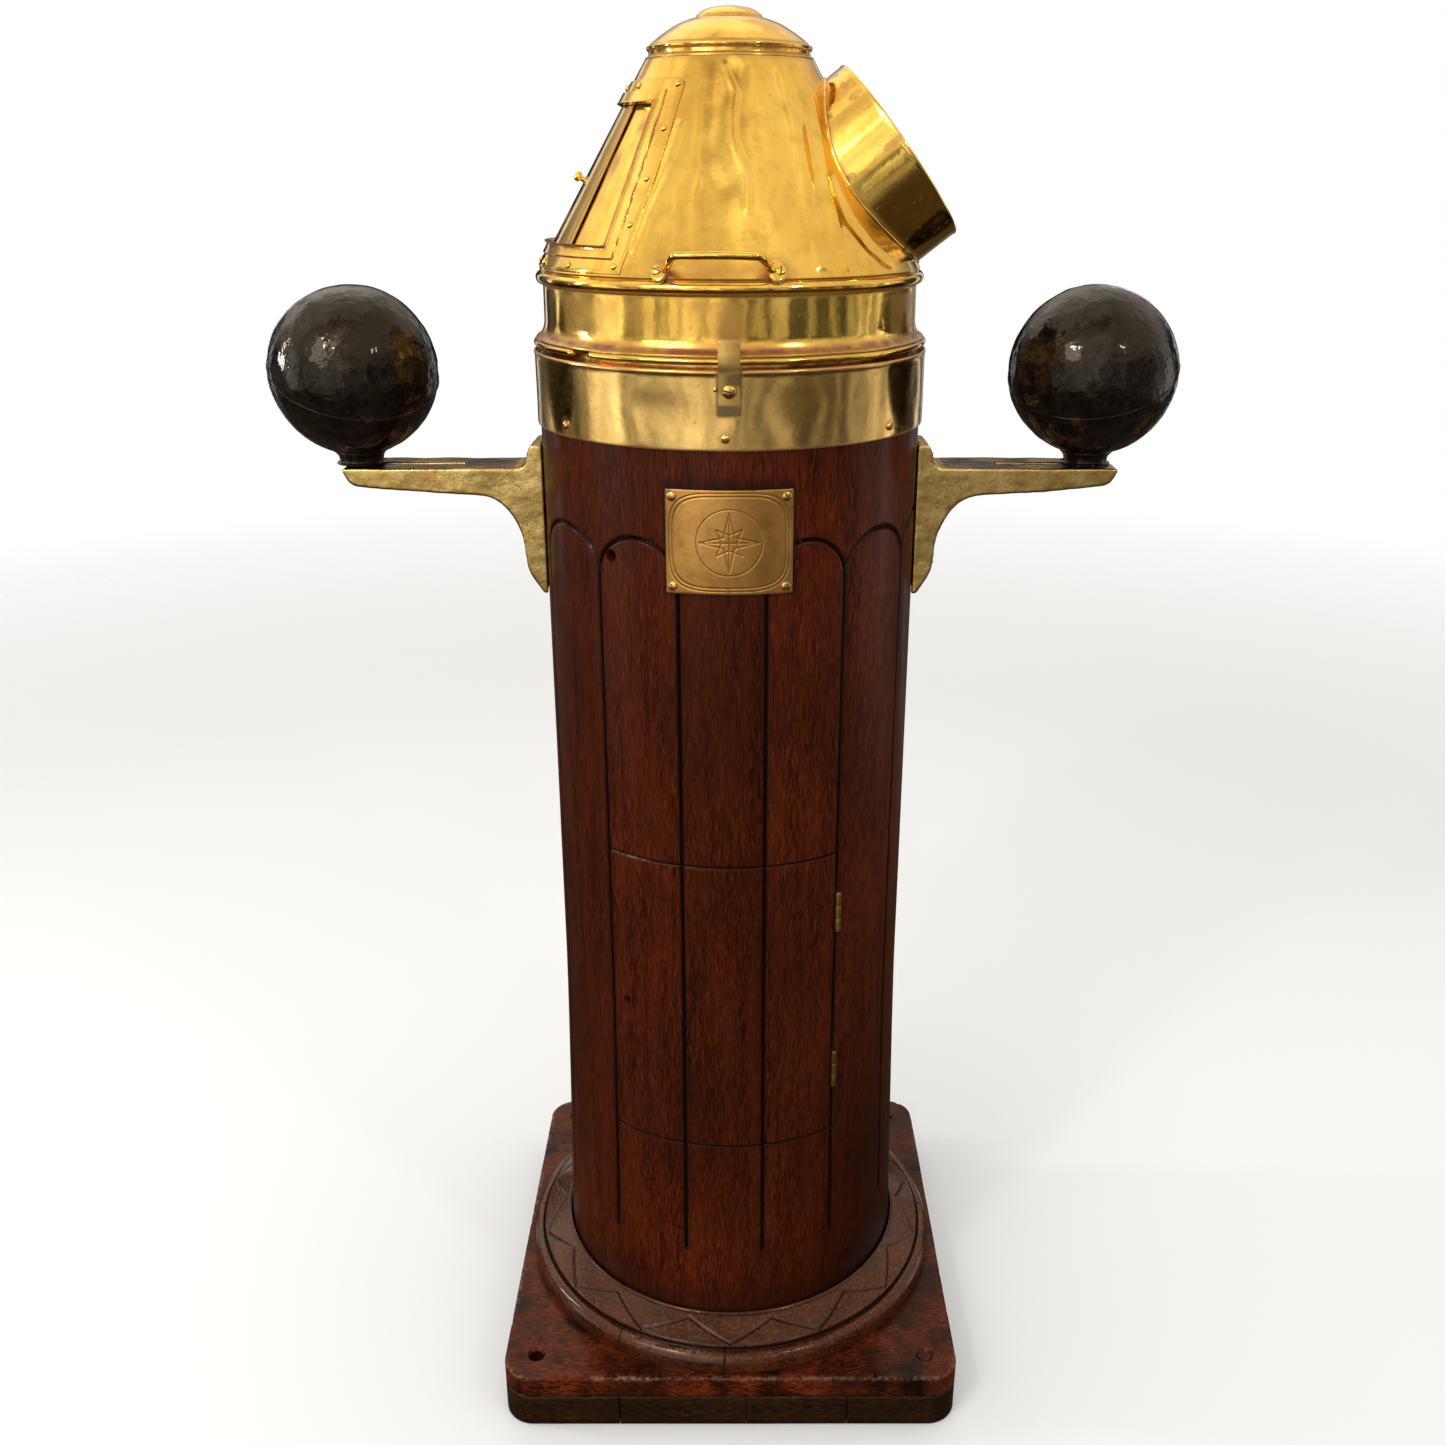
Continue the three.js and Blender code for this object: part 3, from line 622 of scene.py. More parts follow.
def cast_brass(name):
    """Sand-cast brass: dull, pitted, darker in its hollows and dark brown where marked."""
    look = Look(name)
    blot = look.noise(16, stretch=(1.6, 1, 1), detail=6, rough=0.65)
    pit = look.noise(1.5, detail=4, shift=4, rough=0.65)
    tone = look.mix(look.remap(blot, 0.36, 0.62), (0.86, 0.60, 0.20), (0.50, 0.31, 0.09))
    warm = look.remap(look.noise(26, detail=3, shift=8), 0.58, 0.7, 0, 0.5)
    tone = look.mix(warm, tone, (0.62, 0.24, 0.06))
    pitted = look.remap(look.noise(30, detail=3, shift=12), 0.42, 0.6, 0.25, 1.0)
    holes = look.math("MULTIPLY", look.remap(pit, 0.34, 0.44, 0.9, 0), pitted)
    tone = look.mix(holes, tone, (0.06, 0.036, 0.012))
    tone = look.mix(look.mark("grime_and_shade"), tone, (0.085, 0.045, 0.028))
    rough = look.remap(blot, 0.3, 0.7, 0.16, 0.36)
    normal = look.bump(pit, 0.4, 0.3)
    normal = look.bump(blot, 0.3, 1.4, normal)
    return look.surface(Base_Color=tone, Metallic=1.0, Roughness=rough, Normal=normal)


VARNISH = (1.0, 0.62, 0.42, 1)


def wood(name, dark, mid, light, grain=(1, 1, 14), blotch=0.4, worn=(0.26, 0.15, 0.09), coat=0.12, gloss=0.3,
         shine=0.08, patch=85):
    """Varnished hardwood: drawn-out grain and pores, blotchy stain, stave tones that carry painted shade,
    dark marks that are partly painted shade, and rubbed edges that are partly painted highlights.
    """
    look = Look(name)
    figure = look.noise(11, stretch=grain, detail=5, rough=0.6)
    fine = look.noise(1.1, stretch=grain, detail=5, shift=2, rough=0.7)
    stain = look.noise(patch, stretch=(1, 1, 1.6), detail=4, shift=6)
    tone = look.mix(look.remap(figure, 0.32, 0.6), dark, mid)
    tone = look.mix(look.remap(fine, 0.46, 0.62, 0, 0.9), tone, light)
    pores = look.remap(look.noise(0.8, stretch=grain, detail=2, shift=11), 0.3, 0.42, 0.75, 0)
    tone = look.mix(pores, tone, tuple(c * 0.3 for c in dark))
    # Each stave's own tone, with painted shade low on the pillar's right.
    tone = look.mix(look.mark("stave_tone_and_shade"), tone, tuple(c * 0.7 for c in dark))
    tone = look.mix(look.remap(stain, 0.42, 0.68, 0, blotch), tone, tuple(c * 0.5 for c in dark))
    # Dark marks: dirt, and painted shade and shadow in places.
    tone = look.mix(look.mark("grime_and_shade"), tone, (0.006, 0.003, 0.002))
    # Rubbed edges in a light tone, which also paint highlights on the foot ring's bead and the door's top
    # edge.
    rub_and_highlight = look.math("MULTIPLY", look.mark("wear_and_highlight"), look.remap(look.noise(5, detail=6, shift=13), 0.42, 0.6))
    tone = look.mix(rub_and_highlight, tone, worn)
    rough = look.remap(stain, 0.3, 0.7, gloss, gloss + 0.14)
    normal = look.bump(fine, 0.16, 0.3)
    normal = look.bump(pores, 0.2, -0.15, normal)
    look.surface(Coat_Weight=coat, Coat_Roughness=0.14, Specular_IOR_Level=shine, Specular_Tint=VARNISH)
    return look.surface(Base_Color=tone, Roughness=rough, Normal=normal)


LAMPBLACK_SHEEN = (1.0, 0.84, 0.62, 1)


def iron_paint(name):
    """Thick black gloss paint, brush-marked, rubbed brown in places."""
    look = Look(name)
    lump = look.noise(9, detail=5, rough=0.6)
    brush = look.noise(2.2, stretch=(1, 1, 2.4), detail=4, shift=3)
    tone = look.mix(look.remap(lump, 0.4, 0.65), (0.0028, 0.0024, 0.0020), (0.009, 0.0068, 0.0045))
    rust = look.remap(look.noise(30, detail=6, shift=5, rough=0.7), 0.57, 0.67, 0, 0.7)
    tone = look.mix(rust, tone, (0.05, 0.023, 0.008))
    rough = look.remap(brush, 0.3, 0.7, 0.04, 0.13)
    crackle = look.noise(5.5, detail=1.5, shift=15)
    normal = look.bump(crackle, 0.45, 0.9)
    normal = look.bump(look.noise(16, detail=2, shift=3), 0.35, 2.0, normal)
    look.surface(Specular_IOR_Level=0.34, Specular_Tint=LAMPBLACK_SHEEN)
    return look.surface(Base_Color=tone, Roughness=rough, Normal=normal)


def dull_metal(name, bright, dark, rough, metallic=1.0):
    look = Look(name)
    cloud = look.noise(12, detail=5)
    tone = look.mix(look.remap(cloud, 0.35, 0.68), bright, dark)
    normal = look.bump(look.noise(0.8, stretch=(1, 1, 4), detail=3), 0.15, 0.1)
    finish = look.remap(cloud, 0.3, 0.7, rough, rough + 0.15)
    return look.surface(Base_Color=tone, Metallic=metallic, Roughness=finish, Normal=normal)


def clear_glass(name):
    look = Look(name)
    smear = look.remap(look.noise(20, detail=4), 0.4, 0.7, 0.01, 0.06)
    look.surface(Transmission_Weight=1.0, IOR=1.12)
    return look.surface(Base_Color=(0.93, 0.97, 0.95, 1), Roughness=smear)


def paper(name, tone, aged, rough=0.6):
    look = Look(name)
    colour = look.mix(look.remap(look.noise(30, detail=5), 0.4, 0.75), tone, aged)
    normal = look.bump(look.noise(0.5, detail=2), 0.08, 0.05)
    return look.surface(Base_Color=colour, Roughness=rough, Normal=normal)


COPPER = (0.24, 0.075, 0.036)
UMBER = (0.05, 0.026, 0.012)
MATERIALS = {
    "pillar_wood": wood(
        "pillar_wood", (0.016, 0.0020, 0.0004), (0.060, 0.0074, 0.0009), (0.118, 0.0205, 0.0032)
    ),
    "ring_wood": wood(
        "ring_wood", (0.012, 0.0026, 0.0008), (0.056, 0.0125, 0.0030), (0.118, 0.031, 0.0085),
        grain=(4, 4, 1.5), coat=0.26, gloss=0.10, shine=0.3, patch=40
    ),
    "plinth_wood": wood(
        "plinth_wood", (0.008, 0.0022, 0.0008), (0.085, 0.0115, 0.0020), (0.17, 0.032, 0.006),
        grain=(7, 1.4, 1.4), blotch=1.0, coat=0.1, gloss=0.16, shine=0.12, patch=34
    ),
    "inner_wood": wood(
        "inner_wood", (0.13, 0.065, 0.03), (0.26, 0.14, 0.065), (0.36, 0.21, 0.10), grain=(12, 1, 1),
        coat=0.0, gloss=0.55
    ),
    "hood_brass": brass("hood_brass", (0.96, 0.62, 0.125), (0.80, 0.46, 0.080), COPPER, 0.045, haze=0.10),
    "band_brass": brass(
        "band_brass", (0.88, 0.56, 0.17), (0.68, 0.40, 0.11), COPPER, 0.09, haze=0.14, scratch=0.1
    ),
    "plate_brass": brass("plate_brass", (0.74, 0.38, 0.095), (0.56, 0.26, 0.06), UMBER, 0.2, scratch=0.12),
    "cast_brass": cast_brass("cast_brass"), "black_iron": iron_paint("black_iron"),
    "steel": dull_metal("steel", (0.45, 0.44, 0.42), (0.22, 0.20, 0.18), 0.35),
    "weight_metal": dull_metal("weight_metal", (0.20, 0.20, 0.21), (0.11, 0.11, 0.12), 0.5),
    "clear_glass": clear_glass("clear_glass"),
    "card_face": paper("card_face", (0.80, 0.75, 0.62), (0.62, 0.53, 0.38)),
}
INK = paper("card_ink", (0.012, 0.012, 0.014), (0.03, 0.028, 0.026), 0.5)
BOARD_WOOD = wood("lower_board_wood", (0.007, 0.0036, 0.0014), (0.018, 0.0080, 0.0026), (0.042, 0.016, 0.005),
                  grain=(9, 1.4, 1.4), coat=0.12, gloss=0.2, shine=0.12)
CATCH_BRASS = brass(
    "catch_brass", (0.88, 0.56, 0.15), (0.62, 0.38, 0.09), (0.13, 0.085, 0.024), 0.12, haze=0.14
)
HINGE_BRASS = brass("hinge_brass", (0.45, 0.27, 0.08), (0.22, 0.12, 0.04), UMBER, 0.3, haze=0.2)


def fit(obj, body, slot, *nodes, material=None):
    """Gives a piece its finish, its body and the CAD nodes that it stands for."""
    obj.data.materials.clear()
    obj.data.materials.append(material or MATERIALS[slot])
    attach(obj, body)
    if nodes:
        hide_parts(*nodes)
    return obj


# ---------------------------------------------------------------- plinth and foot ring


def square_outline(half, corner, side_points=250, corner_points=30):
    """A rounded square, counterclockwise, with the same number of points for every size."""
    points = []
    for turn in range(4):
        sweep = np.radians(np.linspace(-90, 0, corner_points, endpoint=False) + 90 * turn)
        centre = np.array([(half - corner) * x for x in ((1, -1), (1, 1), (-1, 1), (-1, -1))[turn]])
        arc = centre + corner * np.stack([np.cos(sweep), np.sin(sweep)], axis=1)
        end = math.radians(90 * turn)
        last = centre + corner * np.array([math.cos(end), math.sin(end)])
        away = np.array([(0, 1), (-1, 0), (0, -1), (1, 0)][turn], float)
        run = np.linspace(0, 2 * (half - corner), side_points, endpoint=False)
        points.extend([arc, last + away * run[:, None]])
    return np.concatenate(points)


def board_rows(low, high, edge):
    """How far in from a board's side, and how high, each row of its points lies."""
    turn = np.linspace(0, np.pi / 2, 6)
    under = [140, 60, 8, edge]
    upright = np.linspace(low + edge, high - edge, 7)
    over = [edge + 1.5, edge + 4, 8, 11, 14, 18, 22, 26, 30, 34, 38, 42, 50, 70, 100, 140]
    below, above = edge * (1 - np.sin(turn)) * 0.7, edge * (1 - np.cos(turn))
    inward = np.concatenate([under, below, np.zeros(len(upright)), above, over])
    below, above = low + edge * (1 - np.cos(turn)) * 0.7, high - edge + edge * np.sin(turn)
    heights = np.concatenate([np.full(len(under), low), below, upright, above, np.full(len(over), high)])
    return inward, heights


def plinth_board(name, low, high, edge, seed, worn):
    """One board of the plinth, with a chipped and rubbed top edge."""
    inward, heights = board_rows(low, high, edge)
    grid = []
    for inset, z in zip(inward, heights):
        outline = square_outline(PLINTH_HALF - inset, max(PLINTH_CORNER - inset, 6))
        grid.append(np.column_stack([outline, np.full(len(outline), z)]))
    grid = np.array(grid)
    inset = inward[:, None]
    near_top = bell(high - grid[..., 2], 3.5) * bell(inset, 5)
    chip = np.clip(noise(grid, 9, seed) + 0.5 * noise(grid, 3.5, seed + 1) - 0.25, 0, 1) * near_top
    softness = 0.5 * noise(grid, 60, seed + 2) * bell(inset, 20)
    towards = -grid[..., :2] / np.maximum(np.linalg.norm(grid[..., :2], axis=-1, keepdims=True), 1)
    grid[..., :2] += towards * (2.6 * chip + np.clip(softness, 0, 1))[..., None]
    grid[..., 2] -= 1.8 * chip
    top = (inset > 6) & (grid[..., 2] > high - 1)
    grid[..., 2] += np.where(top, 0.25 * noise(grid, 22, seed + 3) - 0.25, 0) * (inset < 90)
    rows, columns = grid.shape[:2]
    faces = quads(rows, columns).tolist() + end_caps(rows, columns)
    wear_and_highlight = bell(high - grid[..., 2], 2.2) * bell(inset, 3.2)
    wear_and_highlight = wear_and_highlight * smoothstep(-0.35, 0.5, noise(grid, 55, seed + 5))
    grime_and_shade = 0.75 * bell(grid[..., 2] - low, 2.5) * (inset < 4)
    # Painted shade: the board darkens towards +X, the right side, in blots.
    shaded = smoothstep(60, 210, grid[..., 0]) * smoothstep(-0.6, 0.5, noise(grid, 45, seed + 6))
    grime_and_shade = np.maximum(grime_and_shade, 0.6 * shaded)
    side = 0.45 + 0.55 * smoothstep(120, -160, grid[..., 0])
    marks = {"wear_and_highlight": np.clip(worn * wear_and_highlight * side, 0, 1), "grime_and_shade": grime_and_shade}
    return build(name, grid.reshape(-1, 3), faces, marks)


def bolt_holes(board, low, high):
    tools = []
    for x in (-BOLT_HOLE, BOLT_HOLE):
        for y in (-BOLT_HOLE, BOLT_HOLE):
            section = [
                (0, low - 5), (7, low - 5), (7, high - 2.4), (9.5, high), (9.5, high + 5), (0, high + 5)
            ]
            tools.append(moved(turned("hole_tool", section, columns=48), Matrix.Translation((x, y, 0))))
    return cut(board, *tools)


def make_plinth():
    lower = plinth_board("plinth_lower_board", PLINTH_LOW.z, PLINTH_HIGH.z, 2.0, 11, 0.1)
    cracks = []
    for x, width in ((-112, 1.3), (16, 0.7), (118, 0.9)):
        cracks.append(block("crack_tool", (x - width / 2, -240, -2), (x + width / 2, -224, 40), bevel=0))
        cracks.append(block("crack_tool", (-x - width / 2, 224, -2), (-x + width / 2, 240, 40), bevel=0))
        cracks.append(block("crack_tool", (224, x - width / 2, -2), (240, x + width / 2, 40), bevel=0))
    cut(bolt_holes(lower, PLINTH_LOW.z, PLINTH_HIGH.z), *cracks)
    fit(lower, "pedestal", "plinth_wood", "plinth_lower", material=BOARD_WOOD)
    upper = plinth_board("plinth_upper_board", UPPER_LOW.z, UPPER_HIGH.z, 2.6, 23, 0.9)
    bolt_holes(upper, UPPER_LOW.z, UPPER_HIGH.z)
    fit(upper, "pedestal", "plinth_wood", "plinth_upper")
    plug = roughened(rod("bolt_hole_plug", 6.8, UPPER_LOW.z + 4, UPPER_HIGH.z - 1.6, 0.8), (4, 0.4, 31))
    fit(moved(plug, Matrix.Translation((BOLT_HOLE, -BOLT_HOLE, 0))), "pedestal", "plinth_wood")


RING_TEETH = 14
RING_JOINTS = (-1.5, -31, 36, 92, 151, 214, 268)


def ring_carving(angle, r):
    """How deep the zigzag and the turned groove are cut at each point of the foot ring."""
    pitch = FULL_TURN / RING_TEETH
    within = (angle + pitch / 2) % pitch - pitch / 2
    low_r, middle_r, high_r, lean = 186, 198, 209, 1.6
    cut_depth = np.zeros(np.broadcast(angle, r).shape)
    for side in (-1, 1):
        run_x = math.radians(side * (pitch / 2 + lean)) * middle_r
        gap = run_distance(np.radians(within) * middle_r, r - high_r, run_x, low_r - high_r)
        cut_depth = np.maximum(cut_depth, 1.25 * bell(gap, 1.05))
    return cut_depth + 1.9 * bell(r - 212.2, 1.0) + 0.8 * bell(r - 183.5, 1.2)


def make_foot_ring():
    """A turned ring with a rounded outer bead, a groove and an incised zigzag on its slope."""
    outer_r, low, high = RING_HIGH.x, RING_LOW.z, RING_HIGH.z
    bead = [(outer_r - 0.2, low), (outer_r, low + 3)]
    for turn in np.radians(np.linspace(0, 118, 14)):
        bead.append((outer_r - 8.5 + 8.5 * math.cos(turn), low + 9 + 10.5 * math.sin(turn)))
    slope = spaced([
        (212.5, 80.2), (210.5, 83.6), (186, high - 2.6), (183.6, high - 0.9), (182.4, high - 0.4)
    ], 0.6)
    section = np.concatenate([bead, slope])
    angle = np.arange(0, FULL_TURN, 0.24)[None, :]
    r, z = (np.repeat(values[:, None], angle.shape[1], axis=1) for values in section.T)
    depth = ring_carving(angle, r) * (r < 213.4)
    joint = np.zeros_like(r)
    for at in RING_JOINTS:
        gap = np.radians(turn_from(angle, at)) * outer_r
        joint = np.maximum(joint, bell(gap, 0.7) * (r > 211))
    points = polar(angle, r, z)
    depth = depth + joint * 1.2 + 0.35 * np.clip(noise(points, 12, 41) - 0.2, 0, 1)
    lift = 0.5 * noise(points, 70, 42)
    outer = polar(angle, r - 0.35 * depth - 0.5 * joint, z - 0.9 * depth + lift * (z > 66))
    inner = polar(angle, np.full_like(r, 181.2), np.linspace(low, high - 0.4, len(section))[:, None])
    grime_and_shade = np.clip(depth * 0.85, 0, 1)
    # The outer bead's crown gets the light worn tone as a painted highlight, and a line by the inner edge
    # gets it too.
    crown = bell(r - 218, 4) + 0.9 * bell(r - 184.5, 1.3)
    wear_and_highlight = np.clip(crown * smoothstep(0.1, 0.8, noise(points, 40, 43)), 0, 1) * 0.4
    obj = shell("foot_ring_carved", outer, inner, wrap=True, marks={"grime_and_shade": grime_and_shade, "wear_and_highlight": wear_and_highlight})
    fit(obj, "pedestal", "ring_wood", "foot_ring")


# ---------------------------------------------------------------- pillar and door


def pillar_surface(angle, z):
    """The pillar's outer radius, the dark marks along its grooves, and the tone of its staves, with painted
    shade low on the right.
    """
    edges = np.array(PANEL_EDGES + [PANEL_EDGES[0] + FULL_TURN])
    turn = (angle - PANEL_EDGES[0]) % FULL_TURN + PANEL_EDGES[0]
    index = np.clip(np.searchsorted(edges, turn, side="right") - 1, 0, len(PANEL_EDGES) - 1)
    left, right = edges[index], edges[index + 1]
    half = np.radians(right - left) / 2 * PILLAR_R
    across = np.abs(np.radians(turn - (left + right) / 2)) * PILLAR_R
    rise = np.clip(z - ARCH_SPRING, 0, None)
    out = np.hypot(across / half, rise / ARCH_RISE)
    sideways = (across / half) ** 2 / np.maximum(out**2, 1e-6)
    scale = half * sideways + ARCH_RISE * (1 - sideways)
    away = np.where(rise > 0, np.abs(1 - out) * scale, half - across)
    fade = smoothstep(GROOVE_END - 4, GROOVE_END + 10, z)
    groove = bell(away, GROOVE_HALF) * fade
    easing = 0.5 * fading(away, 5) * fade
    flare = FOOT_FLARE * np.clip((FLARE_TOP - z) / (FLARE_TOP - PILLAR_LOW.z), 0, 1) ** 1.3
    tones = np.random.default_rng(57).uniform(0.0, 0.42, len(PANEL_EDGES))
    # Painted shade: the staves darken towards the right side and towards the foot.
    shade = smoothstep(0, 60, np.radians(turn_from(angle, 0)) * 60)
    stave_tone_and_shade = np.where(away < half, tones[index], 0.2) * smoothstep(GROOVE_END, GROOVE_END + 90, z)
    stave_tone_and_shade = np.clip(stave_tone_and_shade + 0.8 * shade * smoothstep(560, 120, z), 0, 1)
    points = polar(angle, PILLAR_R, z)
    waviness = 0.18 * noise(points, 55, 51, (1, 1, 0.35)) + 0.05 * noise(points, 7, 52, (1, 1, 0.15))
    r = PILLAR_R - 0.25 + flare - GROOVE_DEPTH * groove - easing + waviness
    grime_and_shade = np.clip(1.15 * bell(away, GROOVE_HALF * 1.5) * fade, 0, 1)
    smudge = 0.45 * fading(away, 7) * fade * smoothstep(-0.3, 0.7, noise(points, 25, 53, (1, 1, 0.4)))
    return r, np.clip(np.maximum(grime_and_shade, smudge), 0, 1), stave_tone_and_shade


def pillar_columns():
    near_edge = np.array([-0.9, -0.65, -0.45, -0.3, -0.15, 0, 0.15, 0.3, 0.45, 0.65, 0.9])
    edges = np.array(PANEL_EDGES)[:, None] + near_edge
    return merged(np.arange(-72.9, 286.9, 0.36), (edges + 73) % FULL_TURN - 73)


def foot_shadow(z):
    """Painted shade at the foot, above the plinth, and a painted shadow under the band."""
    foot = 0.55 * smoothstep(150, 95, z)
    band = 0.8 * bell(BAND_LOW.z - z, 3.5) * (z < BAND_LOW.z + 5)
    return np.maximum(foot, band)


def plate_shadow(angle, z):
    """Painted shadow in a line round the nameplate."""
    half = (PLATE_HIGH.x - PLATE_LOW.x) / 2
    x = np.abs(np.radians(angle) * PILLAR_R) - half
    y = np.abs(z - (PLATE_LOW.z + PLATE_HIGH.z) / 2) - (PLATE_HIGH.z - PLATE_LOW.z) / 2
    outside = np.hypot(np.clip(x, 0, None), np.clip(y, 0, None))
    return 0.85 * bell(outside, 2.2) * (np.cos(np.radians(angle)) > 0)


def make_pillar():
    columns = pillar_columns()
    lip = np.array([-6, -3.5, -2, -1, -0.4, 0])
    rows = merged(
        np.arange(PILLAR_LOW.z, PILLAR_HIGH.z, 13.0),
        [PILLAR_HIGH.z],
        np.arange(GROOVE_END - 6, GROOVE_END + 12, 2.0),
        np.arange(ARCH_SPRING - 4, ARCH_SPRING + ARCH_RISE + 6, 0.9),
        DOOR_BOTTOM + lip,
        DOOR_TOP - lip,
    )
    angle, z = np.meshgrid(columns, rows)
    r, grime_and_shade, stave_tone_and_shade = pillar_surface(angle, z)
    by_door = (angle > DOOR_LEFT - 0.1) & (angle < DOOR_RIGHT + 0.1)
    lip_gap = np.minimum(np.abs(z - DOOR_BOTTOM), np.abs(z - DOOR_TOP))
    r = r - 0.7 * bell(lip_gap, 0.8) * by_door
    grime_and_shade = np.maximum(grime_and_shade, 0.9 * bell(lip_gap, 1.4) * by_door)
    grime_and_shade = np.maximum.reduce([grime_and_shade, foot_shadow(z), plate_shadow(angle, z)])
    points = polar(angle, r, z)
    middle = (rows[:-1] + rows[1:]) / 2
    sides = (angle[0] + np.roll(angle[0], -1)) / 2
    sides[-1] = columns[-1] + 0.1
    in_height = (middle > DOOR_BOTTOM) & (middle < DOOR_TOP)
    in_width = (sides > DOOR_LEFT) & (sides < DOOR_RIGHT)
    keep = ~(in_height[:, None] & in_width[None, :])
    inner = polar(angle, PILLAR_BORE, z)
    pillar = shell("pillar_staves", points, inner, keep, wrap=True, marks={"grime_and_shade": grime_and_shade, "stave_tone_and_shade": stave_tone_and_shade})
    tools = [hinge_pocket(z) for z in HINGE_HEIGHTS]
    hole_at = facing(polar(SMALL_HOLE_ANGLE, PILLAR_R, SMALL_HOLE_Z), polar(SMALL_HOLE_ANGLE, 1, 0))
    tools.append(moved(rod("bore_tool", 5.6, -12, 12), hole_at))
    cut(pillar, *tools)
    fit(pillar, "pedestal", "pillar_wood", "pillar")


KEY_ANGLE = -35
KEY_Z = 445
SMALL_HOLE_ANGLE = -36  # an old hole in the pillar, left of the nameplate
SMALL_HOLE_Z = 882
HINGE_AT = [value / MM for value in JOINTS["door_swing"]["pos_m"]]
HINGE_HEIGHTS = [(low.z + high.z) / 2 for low, high in map(extent, ("door_hinge_lower", "door_hinge_upper"))]
HINGE_R = 2.7
HINGE_LENGTH = 40
HINGE_LEAF = 13


def at_hinge(z):
    """The hinge's place: X along the wall towards larger angles, Y inwards."""
    return Matrix.Translation((HINGE_AT[0], HINGE_AT[1], z)) @ around(DOOR_RIGHT)


def hinge_pocket(z):
    half = HINGE_LENGTH / 2 + 0.4
    barrel = rod("pocket_tool", HINGE_R + 0.5, -half, half, 0)
    leaf = block("pocket_tool", (-1.9, -1, -half + 0.05), (1.9, HINGE_LEAF + 0.6, half - 0.05), bevel=0)
    return moved(combined(barrel, "UNION", [leaf]), at_hinge(z))


def make_door():
    turn = math.degrees(DOOR_GAP / PILLAR_R)
    start, end = DOOR_LEFT + turn, DOOR_RIGHT - turn
    columns = pillar_columns()
    columns = merged([start], columns[(columns > start + 0.05) & (columns < end - 0.05)], [end])
    bottom, top = DOOR_BOTTOM + DOOR_GAP, DOOR_TOP - DOOR_GAP
    lip = np.array([0, 0.4, 1, 2, 3.5, 6])
    rows = merged(np.arange(bottom + 10, top - 8, 13.0), bottom + lip, top - lip)
    angle, z = np.meshgrid(columns, rows)
    r, grime_and_shade, stave_tone_and_shade = pillar_surface(angle, z)
    rim = np.minimum(z - bottom, top - z)
    r = r - 0.9 * bell(rim, 0.9) + 0.3
    grime_and_shade = np.maximum(grime_and_shade, 0.55 * bell(rim, 1.2))
    points = polar(angle, r, z)
    # Painted highlight: a light worn line along the door's top edge.
    wear_and_highlight = 0.9 * bell(rim, 0.9) * (top - z < 3) * smoothstep(-0.2, 0.5, noise(points, 30, 56))
    marks = {"grime_and_shade": grime_and_shade, "wear_and_highlight": wear_and_highlight, "stave_tone_and_shade": stave_tone_and_shade}
    door = shell("door_panel", points, polar(angle, DOOR_BACK, z), marks=marks)
    key_at = facing(polar(KEY_ANGLE, PILLAR_R, KEY_Z), polar(KEY_ANGLE, 1, 0))
    keyhole = moved(rod("key_tool", 4.2, -40, 40, 0), key_at)
    cut(door, *[hinge_pocket(z) for z in HINGE_HEIGHTS], keyhole)
    fit(door, "door", "pillar_wood", "access_door")


def make_hinges():
    """Two butt hinges: three knuckles on a pin, and a leaf let into each side."""
    half, third, slack = HINGE_LENGTH / 2, HINGE_LENGTH / 6, 0.15
    for level, z in zip(("lower", "upper"), HINGE_HEIGHTS):
        fixed = [
            rod("knuckle", HINGE_R, -half, -third - slack),
            rod("knuckle", HINGE_R, third + slack, half),
            rod("pin", 1.4, -half - 0.6, half + 0.6),
            block("leaf", (0.4, 1, -half), (1.5, HINGE_LEAF, half), 0.3),
        ]
        swinging = [
            rod("knuckle", HINGE_R, -third + slack, third - slack),
            block("leaf", (-1.5, 1, -half), (-0.4, HINGE_LEAF, half), 0.3),
        ]
        for name, parts, body, node in (
            (f"hinge_fixed_{level}", fixed, "pedestal", f"door_hinge_{level}"),
            (f"hinge_swinging_{level}", swinging, "door", f"door_hinge_leaf_{level}"),
        ):
            fit(moved(joined(name, parts), at_hinge(z)), body, "cast_brass", node, material=HINGE_BRASS)


def make_lock():
    case_low, case_high = extent("lock_case")
    z = (case_low.z + case_high.z) / 2
    face = -(DOOR_BACK - 1.2)
    turn = around(KEY_ANGLE)
    case = block("lock_body", (-11, face, z - 24), (11, face + 12, z + 24), 1.2)
    cut(case, block("bolt_way", (-12, face + 3, z - 6.5), (7, face + 9, z + 6.5), bevel=0))
    places = [facing((x, face + 12, z + y), (0, 1, 0), 30 * x) for x in (-7.5, 7.5) for y in (-19, 19)]
    heads = copies("lock_screws", screw_head("lock_screws", 2, 1), places)
    fit(moved(case, turn), "door", "cast_brass", "lock_case")
    fit(moved(heads, turn), "door", "cast_brass")
    bolt = block("lock_bolt_bar", (-10.5, face + 3.4, z - 6.1), (-1, face + 8.6, z + 6.1), 0.9)
    fit(moved(bolt, turn), "bolt", "cast_brass", "lock_bolt")


# ---------------------------------------------------------------- cupboard


